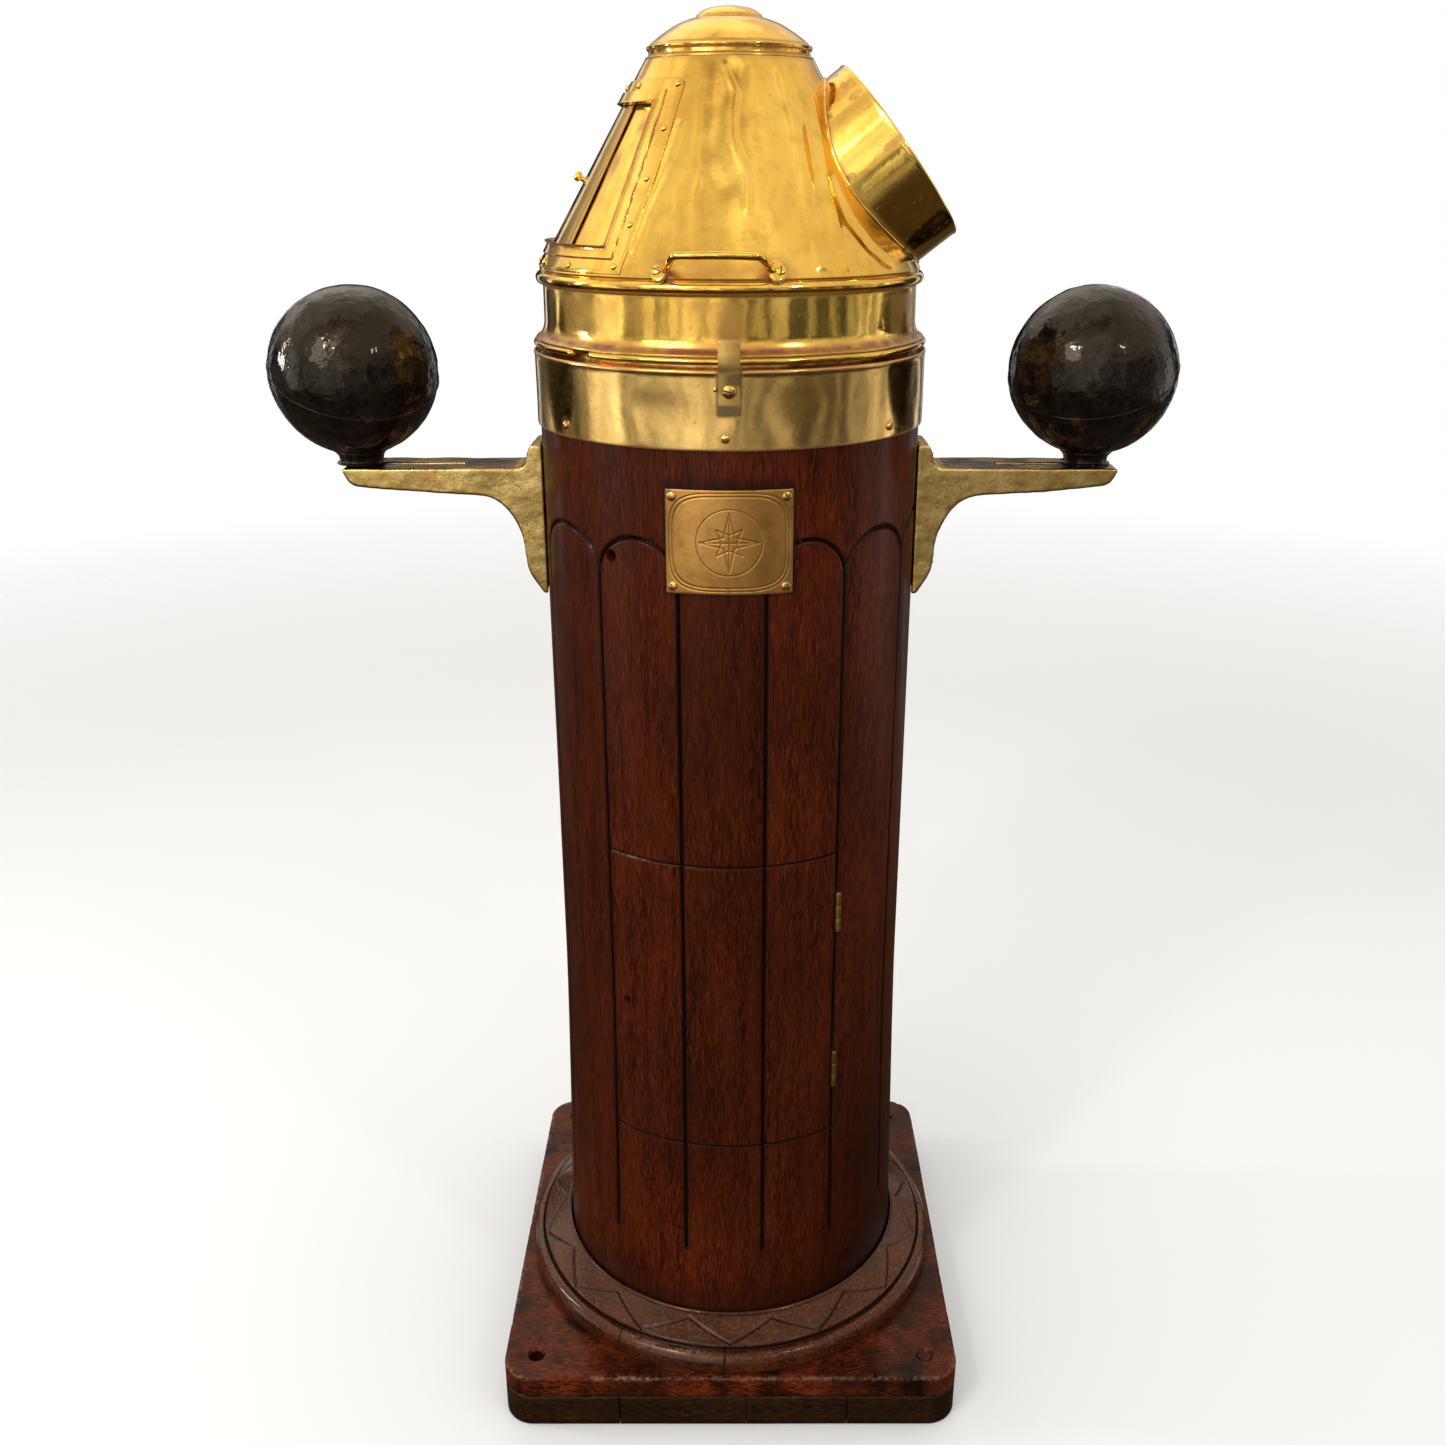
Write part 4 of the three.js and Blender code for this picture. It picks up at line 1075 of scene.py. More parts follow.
def make_cupboard():
    shelves = ("chamber_shelf", "magnet_shelf_lower", "magnet_shelf_upper")
    for node in ("cupboard_floor", "cupboard_ceiling", *shelves):
        low, high = extent(node)
        inner = 23 if node == "cupboard_ceiling" else 0
        section = rounded([(inner, low.z, 0), (high.x, low.z, 1), (high.x, high.z, 1), (inner, high.z, 0)])
        board = turned(f"{node}_board", section, columns=128, step=8)
        fit(roughened(board, (30, 0.15, 61)), "pedestal", "inner_wood", node)
    for level in ("lower", "upper"):
        for number in (1, 2):
            node = f"corrector_magnet_{level}_{number}"
            low, high = extent(node)
            centre = (low + high) / 2
            lies_along_x = high.x - low.x > high.y - low.y
            bar_piece = rod(f"magnet_bar_{level}_{number}", 4.5, -100, 100, 1.2)
            moved(bar_piece, facing(centre, (1, 0, 0) if lies_along_x else (0, 1, 0)))
            fit(bar_piece, "pedestal", "steel", node)


def make_heeling_gear():
    low, high = extent("heeling_tube")
    wall = high.x - 3
    section = rounded([
        (wall, low.z, 0), (high.x, low.z, 0.8), (high.x, high.z, 0.8), (wall, high.z, 0), (wall, low.z, 0)
    ])
    tube = turned("heeling_magnet_tube", section[:-1], columns=72, step=20)
    fit(tube, "pedestal", "band_brass", "heeling_tube")
    low, high = extent("heeling_bucket")
    r = high.x
    section = [
        (0, low.z), (r - 1, low.z), (r, low.z + 1), (r, high.z - 2), (r - 0.3, high.z), (r - 1.5, high.z)
    ]
    section += [(r - 1.5, low.z + 3), (0, low.z + 3)]
    fit(turned("heeling_magnet_bucket", section, columns=64), "bucket", "band_brass", "heeling_bucket")


# ---------------------------------------------------------------- nameplate and lower band


def star_lines(radius, inner, points=4, turn=0.0):
    """The outline of a compass star as pairs of ends."""
    corners = []
    for i in range(points * 2):
        r = radius if i % 2 == 0 else inner
        a = math.radians(turn + 180 / points * i)
        corners.append((r * math.sin(a), r * math.cos(a)))
    return list(zip(corners, corners[1:] + corners[:1]))


def segment_distance(x, y, ends):
    (ax, ay), (bx, by) = ends
    return run_distance(x - ax, y - ay, bx - ax, by - ay)


def cushion_distance(x, y, half_x, half_y):
    """Distance from a cushion-shaped border: sides that bow out to round corners."""
    level = ((x / half_x) ** 4 + (y / half_y) ** 4) ** 0.25
    return np.abs(level - 1) * half_y


def plate_engraving(x, y, half_x, half_y):
    """How deep the double border, the star and its circle are cut, from 0 to 1."""
    depth = np.zeros_like(x)
    for inset, width in ((2.6, 0.4), (5.4, 0.45)):
        gap = cushion_distance(x, y, half_x - inset, half_y - inset)
        depth = np.maximum(depth, bell(gap, width))
    lines = star_lines(25, 6.5) + star_lines(15.5, 6.5, turn=45)
    lines += [((0, -25), (0, 25)), ((-25, 0), (25, 0))]
    for ends in lines:
        depth = np.maximum(depth, 0.95 * bell(segment_distance(x, y, ends), 0.45))
    return np.maximum(depth, 0.7 * bell(np.hypot(x, y) - 28, 0.4))


def make_nameplate():
    """A worn brass plate with a double border and a plain compass star cut into it."""
    half_x, half_y = (PLATE_HIGH.x - PLATE_LOW.x) / 2, (PLATE_HIGH.z - PLATE_LOW.z) / 2
    centre_z = (PLATE_HIGH.z + PLATE_LOW.z) / 2
    plate_r = PILLAR_R + 0.3 + 1.5
    reach = math.degrees(math.asin(half_x / plate_r))
    x_line, y_line = np.radians(np.linspace(-reach, reach, 250)) * plate_r, np.linspace(-half_y, half_y, 200)
    x, y = np.meshgrid(x_line, y_line)
    depth = plate_engraving(x, y, half_x, half_y)
    angle = np.degrees(x / plate_r)
    points = polar(angle, plate_r, centre_z + y)
    edge = np.minimum(half_x - np.abs(x), half_y - np.abs(y))
    r = plate_r - 0.4 * depth - 0.35 * fading(edge, 0.5) + 0.12 * noise(points, 18, 71)
    grime_and_shade = np.clip(0.75 * depth + 0.5 * fading(edge, 1.2) + 0.3 * (noise(points, 10, 72) > 0.55), 0, 1)
    plate = shell("maker_plate", polar(angle, r, centre_z + y), polar(angle, PILLAR_R + 0.1, centre_z + y),
                  marks={"grime_and_shade": grime_and_shade})
    fit(plate, "pedestal", "plate_brass", "nameplate")
    places = []
    for x_side in (-1, 1):
        for y_side in (-1, 1):
            turn = math.degrees(x_side * (half_x - 5.5) / plate_r)
            spot = polar(turn, plate_r - 0.1, centre_z + y_side * (half_y - 6))
            places.append(facing(spot, polar(turn, 1, 0), 40 + 65 * x_side + 25 * y_side))
    screws = copies("maker_plate_screws", screw_head("maker_plate_screws", 3.9, 1.9), places)
    fit(screws, "pedestal", "band_brass")


BAND_SCREWS = 7
STRAP_HALF = 9
STRAP_FOOT = extent("hood_catch_front")[0].z + 0.6
BAND_SCREW_Z = 987
BAND_BORE = 173.3
LOW_RIVET = 1.1  # low enough for the strap to turn over it
RIVET_TURN = -3.6
RIVET_Z = 1026
CATCH_PIVOT_Z = 1025
CATCH_FACE = 178


def band_dents(angle, z):
    """The lower band's knocks: a bowed ridge, a crease below the catch and soft hollows."""
    r = BAND_R
    move = crease(angle, z, r, [(-32, 1008), (-30.6, 1017), (-26, 1026), (-18, 1028), (-10, 1022)], 3.2, 0.55)
    move = move + crease(angle, z, r, [(-10, 1022), (-5.5, 1006), (-1.5, 990)], 2.2, 0.8)
    move = move + crease(angle, z, r, [(-47, 985), (-43, 1003), (-37, 1016), (-36, 1030)], 4, 0.55)
    for centre, size, depth in (
        ((-20, 1008), (26, 15), 0.9), ((19, 1012), (24, 15), 1.0), ((4, 1000), (12, 14), -0.35),
        ((-55, 1010), (14, 22), 0.5), ((38, 1005), (12, 26), 0.45), ((66, 1015), (14, 20), 0.5),
        ((110, 1010), (30, 18), 0.8), ((170, 1002), (26, 14), 0.7), ((-120, 1016), (28, 16), 0.9),
        ((215, 1020), (18, 12), 0.5),
    ):
        delta = turn_from(angle, centre[0])
        move = move + dent(delta, z, r, (0, centre[1]), size, depth)
    return 1.7 * move + 0.35 * noise(polar(angle, r, z), 26, 81, (1, 1, 0.6))


def make_band():
    """The wide band: a dented sheet with a rolled top edge."""
    low, high = BAND_LOW.z, BAND_HIGH.z
    rows = merged(
        np.arange(low, high, 1.5), low + np.array([0, 0.4, 0.9]),
        high - np.array([4, 3, 2.2, 1.5, 0.8, 0.3, 0])
    )
    angle, z = np.meshgrid(np.arange(0, FULL_TURN, 0.45), rows)
    calm = smoothstep(high - 1, high - 7, z) * smoothstep(low - 1, low + 5, z)
    roll = 0.7 * bell(z - high + 2.2, 1.8) - 0.9 * smoothstep(high - 1, high, z)
    r = BAND_R - 0.75 + roll + band_dents(angle, z) * (0.25 + 0.75 * calm) - 0.4 * fading(z - low, 0.5)
    points = polar(angle, r, z)
    marks = {"grime_and_shade": band_tarnish_and_shade(angle, z, points)}
    band = shell("lower_band_sheet", points, polar(angle, BAND_BORE, z), wrap=True, marks=marks)
    fit(band, "pedestal", "band_brass", "lower_band")


def band_tarnish_and_shade(angle, z, points):
    """Tarnish on the band's edges and worn left side and round the screws, and a painted shadow round the
    straps.
    """
    worn_side = bell(turn_from(angle, -83), 15)
    grime_and_shade = 0.7 * fading(BAND_HIGH.z - z, 1.1) + 0.35 * fading(z - BAND_LOW.z, 1.5)
    grime_and_shade = grime_and_shade + 0.85 * worn_side * smoothstep(-0.5, 0.3, noise(points, 20, 83, (1, 1, 0.3)))
    # Painted shadow: a dark outline beside each strap and under its foot.
    for end in (0, 180):
        aside = np.abs(np.radians(turn_from(angle, end))) * BAND_R
        beside_strap = np.clip(aside - STRAP_HALF, 0, None) + np.clip(STRAP_FOOT - z, 0, None)
        grime_and_shade = grime_and_shade + 0.9 * bell(beside_strap, 1.6) * (aside > STRAP_HALF - 2)
        grime_and_shade = grime_and_shade + 0.9 * bell(beside_strap, 1.6) * (z < STRAP_FOOT + 2) * (aside < STRAP_HALF - 2)
    for centre in band_screw_angles():
        gap = np.hypot(np.radians(turn_from(angle, centre)) * BAND_R, z - BAND_SCREW_Z)
        grime_and_shade = grime_and_shade + 0.5 * bell(gap, 5)
    return np.clip(grime_and_shade, 0, 1)


def make_band_fasteners():
    places = []
    for number, turn in enumerate(band_screw_angles()):
        spot = polar(turn, BAND_R - 0.6, BAND_SCREW_Z)
        places.append(facing(spot, polar(turn, 1, 0), 37 * number))
    fit(copies("band_screws", screw_head("band_screws", 3.6, 2.4), places), "pedestal", "band_brass")
    rivets = []
    for end in (0, 180):
        rivets.append(facing(polar(end + RIVET_TURN, BAND_R - 0.3, RIVET_Z), polar(end + RIVET_TURN, 1, 0)))
    low_rivet = turned("rivet", dome(1.9, LOW_RIVET, 0.3), columns=32)
    fit(copies("catch_rivets", low_rivet, rivets), "pedestal", "band_brass")


def band_screw_angles():
    return [-1 + FULL_TURN / BAND_SCREWS * i for i in range(BAND_SCREWS)]


# ---------------------------------------------------------------- brackets and spheres

ARM_TOP = 935
ARM_FACE = ARM_TOP - 0.6  # leaves room for the casting's roughness under the sphere's neck
ARM_THICK = 8.4
ARM_TIP = 355
ARM_WIDTH = 58.5
ARM_WEB = 7.5
SLOT_FROM = 246
SLOT_TO = 349
SLOT_HALF = 5.6


def prism(name, outline, low, high):
    """A flat outline given as (x, z) points, extruded along Y."""
    count = len(outline)
    points = [(x, y, z) for y in (low, high) for x, z in outline]
    return build(name, points, quads(2, count).tolist() + end_caps(2, count))


def arm_outline():
    """The casting's side view: a wall flange, a curved web below, the flat top and its lug."""
    return rounded([
        (166, 955, 0), (166, 817, 0), (175, 817, 2), (188.5, 838, 10), (192.5, 880, 34),
        (214, 909, 40), (300, 914, 30), (348, 919, 12), (355.5, ARM_FACE, 3), (192, ARM_FACE, 4),
        (186, 939, 4), (184, 951, 5), (181, 956, 4), (166, 955, 0),
    ], 8)[:-1]


def make_bracket(side, turn):
    """A cast arm: its underside is hollow between two webs, and its top is slotted for the sphere."""
    arm = prism(f"bracket_casting_{side}", arm_outline(), -ARM_WIDTH / 2, ARM_WIDTH / 2)
    inside = ARM_WIDTH / 2 - ARM_WEB
    slot_end, under, over = SLOT_TO - SLOT_HALF, 900, ARM_TOP + 9
    slot = [
        block("slot_tool", (SLOT_FROM, -SLOT_HALF, under), (slot_end, SLOT_HALF, over), 0),
        moved(rod("slot_tool", SLOT_HALF, under, over, 0), Matrix.Translation((slot_end, 0, 0))),
    ]
    cut(
        arm,
        rod("seat_tool", PILLAR_R + 0.3, 700, 1000, 0, columns=160),
        block("hollow_tool", (194, -inside, 780), (ARM_TIP + 9, inside, ARM_TOP - ARM_THICK), 0),
        *slot,
    )
    modify(arm, "REMESH", mode="VOXEL", voxel_size=1.25 * MM)
    modify(arm, "SMOOTH", iterations=4, factor=0.5)
    applied(arm)
    roughened(arm, (24, 0.45, 91), (7, 0.14, 92), (2.6, 0.07, 93))

    def darkened_places(points, normals):
        # The arm's flat top, under the sphere, is darker in blots, but not at its side edges.
        top = smoothstep(0.55, 0.85, normals[:, 2]) * (points[:, 0] > 197) * (points[:, 2] > ARM_TOP - 3)
        blot = smoothstep(-0.6, 0.1, noise(points, 18, 94))
        edge = smoothstep(ARM_WIDTH / 2 - 0.6, ARM_WIDTH / 2 - 2.2, np.abs(points[:, 1]))
        return np.clip(top * (0.6 + 0.4 * blot) * edge, 0, 1)

    marked(smoothed(arm, 60), "grime_and_shade", darkened_places)
    fit(moved(arm, around(turn)), "pedestal", "cast_brass", f"bracket_{side}")
    screws = []
    for y in (-1, 1):
        screws.append(facing((189.4, y * 17, 846), (1, 0, 0.1), 30 + 40 * y))
        screws.append(facing((184.2, y * 20, 946), (1, 0, 0.2), 75 * y))
    heads = copies(f"bracket_screws_{side}", screw_head("bracket_screws", 3.4, 1.8), screws)
    fit(moved(heads, around(turn)), "pedestal", "cast_brass")


def make_sphere(side, seed):
    """A corrector sphere: a rough painted casting with a parting line, on a flared neck."""
    low, high = extent(f"corrector_sphere_{side}")
    r = (high.x - low.x) / 2
    centre_x, centre_z = (high.x + low.x) / 2, high.z - r
    foot = low.z
    join = -math.acos(24 / r)
    ball = [(r * math.cos(t), centre_z + r * math.sin(t)) for t in np.linspace(np.pi / 2, join, 90)]
    neck = rounded([
        (24, centre_z - 72.5, 0), (20.5, centre_z - 76, 3), (20, foot + 2, 3), (23, foot + 1, 1),
        (22, foot, 0)
    ])
    section = list(ball) + list(neck) + [(0, foot)]
    ball_obj = turned(f"sphere_casting_{side}", section, columns=220)
    moved(ball_obj, Matrix.Translation((0, 0, -centre_z)))
    roughened(ball_obj, (30, 0.7, seed), (9, 0.35, seed + 1), (3.5, 0.13, seed + 2))
    moved(ball_obj, Matrix.Translation((centre_x, 0, centre_z)))
    fit(ball_obj, f"sphere_{side}", "black_iron", f"corrector_sphere_{side}")
    tilt = Euler((math.radians(24), math.radians(14 if side == "left" else -12), 0)).to_matrix().to_4x4()
    ring = [(r * math.cos(a), r * math.sin(a), 0) for a in np.linspace(0, 2 * np.pi, 160, endpoint=False)]
    seam = swept(f"sphere_seam_{side}", ring, bar(1.6, 1.4, 0.6), (0, 0, 1), closed=True)
    moved(roughened(seam, (7, 0.3, seed + 4)), Matrix.Translation((centre_x, 0, centre_z)) @ tilt)
    fit(seam, f"sphere_{side}", "black_iron")
    make_clamp_bolt(side, centre_x, foot)


def make_clamp_bolt(side, centre_x, foot):
    """The nut, washer and shank that clamp a sphere's foot in the bracket's slot."""
    bolt_low, _ = extent(f"sphere_bolt_{side}")
    under = ARM_TOP - 9.3
    hexagon = [(12 * math.cos(math.radians(60 * i)), 12 * math.sin(math.radians(60 * i))) for i in range(6)]
    nut = prism("nut", hexagon, bolt_low.z, under - 2.6)
    moved(nut, Matrix.Rotation(math.pi / 2, 4, "X") @ Matrix.Diagonal((1, 1, -1, 1)))
    modify(nut, "BEVEL", width=0.8 * MM, segments=3)
    cleaned(applied(nut).data)
    parts = [
        nut, rod("washer", 15, under - 2.5, under, 0.6), rod("shank", 4.8, bolt_low.z + 1, foot - 0.4, 0.2)
    ]
    bolt = joined(f"sphere_clamp_bolt_{side}", parts)
    fit(moved(bolt, Matrix.Translation((centre_x, 0, 0))), f"sphere_{side}", "steel", f"sphere_bolt_{side}")


# ---------------------------------------------------------------- compass and gimbals


def make_chamber():
    low, high, flange = CHAMBER_LOW.z, CHAMBER_HIGH.z, CHAMBER_LOW.z + 5
    section = rounded([
        (138, low, 0), (CHAMBER_HIGH.x, low, 0.8), (CHAMBER_HIGH.x, flange, 0.8), (161.5, flange, 1.5),
        (160.5, high, 1), (157.5, high, 1), (157.5, flange, 1), (138, flange, 1), (138, low, 0),
    ])[:-1]
    ring = turned("compass_chamber_ring", section, columns=240, step=6)
    fit(ring, "pedestal", "band_brass", "chamber_ring")
    for end, angle in (("front", 0), ("rear", 180)):
        low, _ = extent(f"gimbal_bearing_{end}")
        bearing = block(f"gimbal_saddle_{end}", (-12, -153, low.z), (12, -141, GIMBAL_Z + 8), 1)
        saddle = moved(rod("saddle_tool", 4.4, -10, 10, 0), facing((0, -147, GIMBAL_Z), (0, 1, 0)))
        cut(bearing, saddle, block("mouth_tool", (-4.4, -160, GIMBAL_Z + 0.1), (4.4, -130, GIMBAL_Z + 20), 0))
        fit(moved(bearing, around(angle)), "pedestal", "cast_brass", f"gimbal_bearing_{end}")


def pin_pair(reach, along):
    """Two pins that point outwards on one axis of the gimbals."""
    ways = [Vector(along) * side for side in (-1, 1)]
    places = [facing(way * reach + Vector((0, 0, GIMBAL_Z)), way) for way in ways]
    return [moved(rod("pin", 4, 0, 24, 0.8), place) for place in places]


def make_gimbal_ring():
    r_out, r_in, half = 126, 117, 7
    section = rounded([
        (r_in, GIMBAL_Z - half, 1), (r_out, GIMBAL_Z - half, 1.5), (r_out, GIMBAL_Z + half, 1.5),
        (r_in, GIMBAL_Z + half, 1.5), (r_in, GIMBAL_Z - half, 0),
    ])
    ring = turned("gimbal_hoop", section, columns=240, step=5)
    tools = []
    for side in (-1, 1):
        seat = rod("seat_tool", 4.4, -20, 20, 0)
        tools.append(moved(seat, facing((side * 121, 0, GIMBAL_Z), (1, 0, 0))))
        mouth = ((side * 121 - 16, -4.4, GIMBAL_Z + 0.1), (side * 121 + 16, 4.4, GIMBAL_Z + 20))
        tools.append(block("mouth_tool", *mouth, 0))
    cut(ring, *tools)
    gimbal = joined("gimbal_ring_turned", [ring, *pin_pair(123, (0, 1, 0))])
    fit(gimbal, "gimbal", "band_brass", "gimbal_ring")


def make_bowl():
    """The compass bowl with its glass, bezel, weight and the needle that the card turns on."""
    rim = extent("compass_bowl")[1].z
    section = rounded([
        (0, GIMBAL_Z - 68, 0), (40, GIMBAL_Z - 64, 20), (86, GIMBAL_Z - 44, 30), (106, GIMBAL_Z - 8, 18),
        (106, rim, 0.6), (102, rim, 0.4), (102, GIMBAL_Z - 8, 16), (81, GIMBAL_Z - 41.5, 26),
        (39, GIMBAL_Z - 60, 18), (0, GIMBAL_Z - 63.5, 0),
    ], 8)
    bowl = turned("compass_bowl_spun", section, columns=200, step=6)
    bowl = joined("compass_bowl_body", [bowl, *pin_pair(104.5, (1, 0, 0))])
    fit(bowl, "bowl", "band_brass", "compass_bowl")
    low, high = extent("bowl_glass")
    fit(rod("bowl_glass_disc", high.x, low.z, high.z, 0.6, columns=160), "bowl", "clear_glass", "bowl_glass")
    low, high = extent("bowl_bezel")
    section = rounded([
        (104.5, low.z, 0), (108, low.z, 0.6), (108, high.z, 2), (96, high.z, 1.2), (96, high.z - 2.7, 0.3),
        (104.5, high.z - 2.7, 0), (104.5, low.z, 0),
    ])[:-1]
    fit(turned("bowl_bezel_ring", section, columns=200, step=5), "bowl", "band_brass", "bowl_bezel")
    section = [(14, -87), (57, -80.6), (60, -78), (60, -56.2), (40, -64.6), (14, -67.4)]
    weight = turned("bowl_ballast", [(r, GIMBAL_Z + z) for r, z in section], columns=96, step=5)
    fit(weight, "bowl", "weight_metal", "bowl_weight")
    low, high = extent("pivot_pin")
    section = [(0, low.z), (7, low.z), (6, low.z + 3), (2.2, low.z + 8), (2.2, high.z - 6), (0, high.z)]
    fit(turned("pivot_needle", section, columns=32), "bowl", "steel", "pivot_pin")


def flat_shapes(name, outlines, low, high):
    """Thin upright prisms from (x, y) outlines, in one object."""
    parts = []
    for outline in outlines:
        part = prism("shape", [(x, y) for x, y in outline], low, high)
        parts.append(moved(part, Matrix(((1, 0, 0, 0), (0, 0, 1, 0), (0, 1, 0, 0), (0, 0, 0, 1)))))
    return joined(name, parts)


def make_card():
    """The card, its printed ring and star, its float and needles."""
    low, high, r = CARD_LOW.z, CARD_HIGH.z, CARD_HIGH.x
    section = rounded([(11, low, 0), (r, low, 0.3), (r, high, 0.3), (11, high, 0)])
    fit(turned("compass_card_disc", section, columns=160, step=8), "card", "card_face", "compass_card")
    top, ink_top = high + 0.02, high + 0.12
    marks = []
    for degree in range(0, FULL_TURN, 2):
        length = 8 if degree % 10 == 0 else 4
        half = 0.45 if degree % 10 == 0 else 0.25
        marks.append(degree_line(degree, r - 2 - length, r - 2, half))
    marks += [star_point(45 * i, 58 if i % 2 == 0 else 44, 9) for i in range(8)]
    marks += [star_point(45 * i + 22.5, 34, 5) for i in range(8)]
    printing = flat_shapes("card_printing", marks, top, ink_top)
    rings = []
    for inner in (r - 13, r - 1.8, 60.5):
        outer = inner + 0.5
        rings.append(turned("ring", [(inner, top), (outer, top), (outer, ink_top), (inner, ink_top)]))
    letters = [card_letter(letter, 90 * i, 65, top) for i, letter in enumerate("NESW")]
    fit(joined("card_printed_rose", [printing, *rings, *letters]), "card", "card_face", material=INK)
    low, high = extent("card_float")
    z = CARD_LOW.z
    section = rounded([
        (0, high.z, 0), (5, z + 5.5, 3), (10.4, z + 1, 1), (10.4, z - 0.3, 0), (26, z - 0.3, 1),
        (26, z - 7, 2), (5, z - 7, 0), (4, z, 0), (0, z + 0.5, 0),
    ])
    fit(turned("card_float_can", section, columns=72), "card", "cast_brass", "card_float")
    for side in ("left", "right"):
        low, high = extent(f"needle_magnet_{side}")
        needle = moved(rod(f"needle_bar_{side}", 3, -60, 60, 1), facing((low + high) / 2, (0, 1, 0)))
        fit(needle, "card", "steel", f"needle_magnet_{side}")


def card_axes(degree):
    """The directions along and across a line of the card."""
    a = math.radians(degree)
    return np.array([math.sin(a), math.cos(a)]), np.array([math.cos(a), -math.sin(a)])


def degree_line(degree, inner, outer, half):
    along, across = card_axes(degree)
    corners = ((inner, -half), (inner, half), (outer, half), (outer, -half))
    return [tuple(along * r + across * w) for r, w in corners]


def star_point(degree, reach, half):
    along, across = card_axes(degree)
    return [tuple(p) for p in (along * 13, along * 20 + across * half / 2, along * reach, along * 20)]


def card_letter(letter, degree, r, z):
    curve = bpy.data.curves.new("letter", "FONT")
    curve.body = letter
    curve.size = 12 * MM
    curve.extrude = 0.05 * MM
    curve.align_x = "CENTER"
    text = bpy.data.objects.new("letter", curve)
    bpy.context.scene.collection.objects.link(text)
    bpy.context.view_layer.update()
    mesh = bpy.data.meshes.new_from_object(text.evaluated_get(bpy.context.evaluated_depsgraph_get()))
    bpy.data.objects.remove(text)
    return moved(named("letter", mesh), around(-degree) @ Matrix.Translation((0, r, z + 0.06)))


# ---------------------------------------------------------------- hood


def hood_profile():
    """The hood's outer section from its flared foot to its top, by rising height."""
    foot_z, top_z = HOOD_LOW.z, HOOD_HIGH.z
    foot_r = HOOD_HIGH.x
    lower = rounded([
        (foot_r, foot_z, 0), (foot_r, foot_z + 1.3, 0.6), (168.2, foot_z + 4.2, 3), (165.2, foot_z + 11.5, 5),
        (165, foot_z + 30, 0), (165, RIM_Z - 6.5, 0),
    ])
    roll = []
    for turn in np.radians(np.linspace(-72, 78, 15)):
        roll.append((165.6 + 5.6 * math.cos(turn), RIM_Z + 5.4 * math.sin(turn)))
    upper = [(CONE_R - 0.4, CONE_Z - 1.5), (CONE_R, CONE_Z), (TOP_R, top_z)]
    return np.concatenate([spaced(lower, 2.2), roll, spaced(upper, 2.4)])


def cone_dents(angle, z):
    """The cone's hand-beaten folds: a wavering line in front and long creases by the tube."""
    r = cone_radius(z)
    line = [(-2.5, 1267), (3.4, 1247), (1.6, 1231), (1.8, 1212), (3.4, 1201), (6, 1187), (6, 1160)]
    move = crease(angle, z, r, line, 3.4, 0.55)
    move = move + crease(angle, z, r, [(0, 1262), (-3, 1235), (-4, 1205), (0, 1180)], 10, -0.5)
    move = move + crease(angle, z, r, [(-12, 1255), (-13, 1225), (-11, 1190)], 12, 0.35)
    move = move + crease(angle, z, r, [(12, 1230), (15, 1200), (14, 1165)], 11, -0.45)
    for mirror in (1, -1):
        folds = (
            ([(32, 1264), (31, 1224), (29.5, 1192), (27, 1156), (26.5, 1118)], 6, 0.8),
            ([(25, 1262), (24, 1224), (22, 1192), (19, 1150)], 8, -0.5),
            ([(49, 1248), (41, 1201), (38, 1174), (35.5, 1142), (35, 1112)], 5, 0.75),
            ([(41, 1240), (35, 1195), (33, 1165), (31, 1130)], 5, -0.45),
            ([(40.5, 1182), (42, 1150), (47, 1130), (54, 1114)], 5, -0.7),
        )
        for path, width, height in folds:
            tube_side = [(90 - mirror * (90 - a), height_at) for a, height_at in path]
            move = move + crease(angle, z, r, tube_side, width, height)
    move = move + crease(angle, z, r, [(-23, 1222), (-24.5, 1195), (-28.5, 1160), (-30, 1130)], 3.2, 0.5)
    points = polar(angle, r, z)
    return 2.2 * move + 0.6 * noise(points, 48, 101) + 0.26 * noise(points, 17, 102)


def hood_surface(angle, r, z):
    """The hood's dented outer radius and the tarnish on it."""
    cone = smoothstep(CONE_Z + 1, CONE_Z + 9, z) * smoothstep(HOOD_HIGH.z, HOOD_HIGH.z - 8, z)
    skirt = smoothstep(HOOD_LOW.z + 8, HOOD_LOW.z + 14, z) * smoothstep(RIM_Z - 7, RIM_Z - 12, z)
    front = turn_from(angle, 0)
    points = polar(angle, r, z)
    streaks = 0.26 * noise(points, 30, 103, (1, 1, 0.25)) + 0.09 * noise(points, 11, 104, (1, 1, 0.3))
    move = cone * cone_dents(front, z) + skirt * streaks
    grime_and_shade = 0.85 * bell(z - HOOD_LOW.z - 4, 4)
    grime_and_shade = grime_and_shade + 0.75 * bell(z - RIM_Z + 5.4, 1.3) + 0.3 * bell(z - CONE_Z + 1, 1.6)
    grime_and_shade = grime_and_shade + 0.3 * bell(z - HOOD_HIGH.z, 2.5)
    grime_and_shade = grime_and_shade + 0.55 * skirt * smoothstep(-0.3, 0.5, noise(points, 26, 105, (1, 1, 0.3)))
    for middle in (HANDLE_ANGLE, 180):
        for side in (-1, 1):
            pad = turn_from(angle, middle + side * HANDLE_HALF)
            gap = np.hypot(np.radians(pad) * 165, (z - HANDLE_Z) * CONE_STRETCH)
            grime_and_shade = grime_and_shade + 0.8 * bell(gap, 12) * (z > RIM_Z + 4)
        along = np.abs(turn_from(angle, middle))
        grime_and_shade = grime_and_shade + 0.32 * (along < HANDLE_HALF) * bell(z - CONE_Z - 6, 7) * (z > RIM_Z + 4)
    return r + move, np.clip(grime_and_shade, 0, 1)


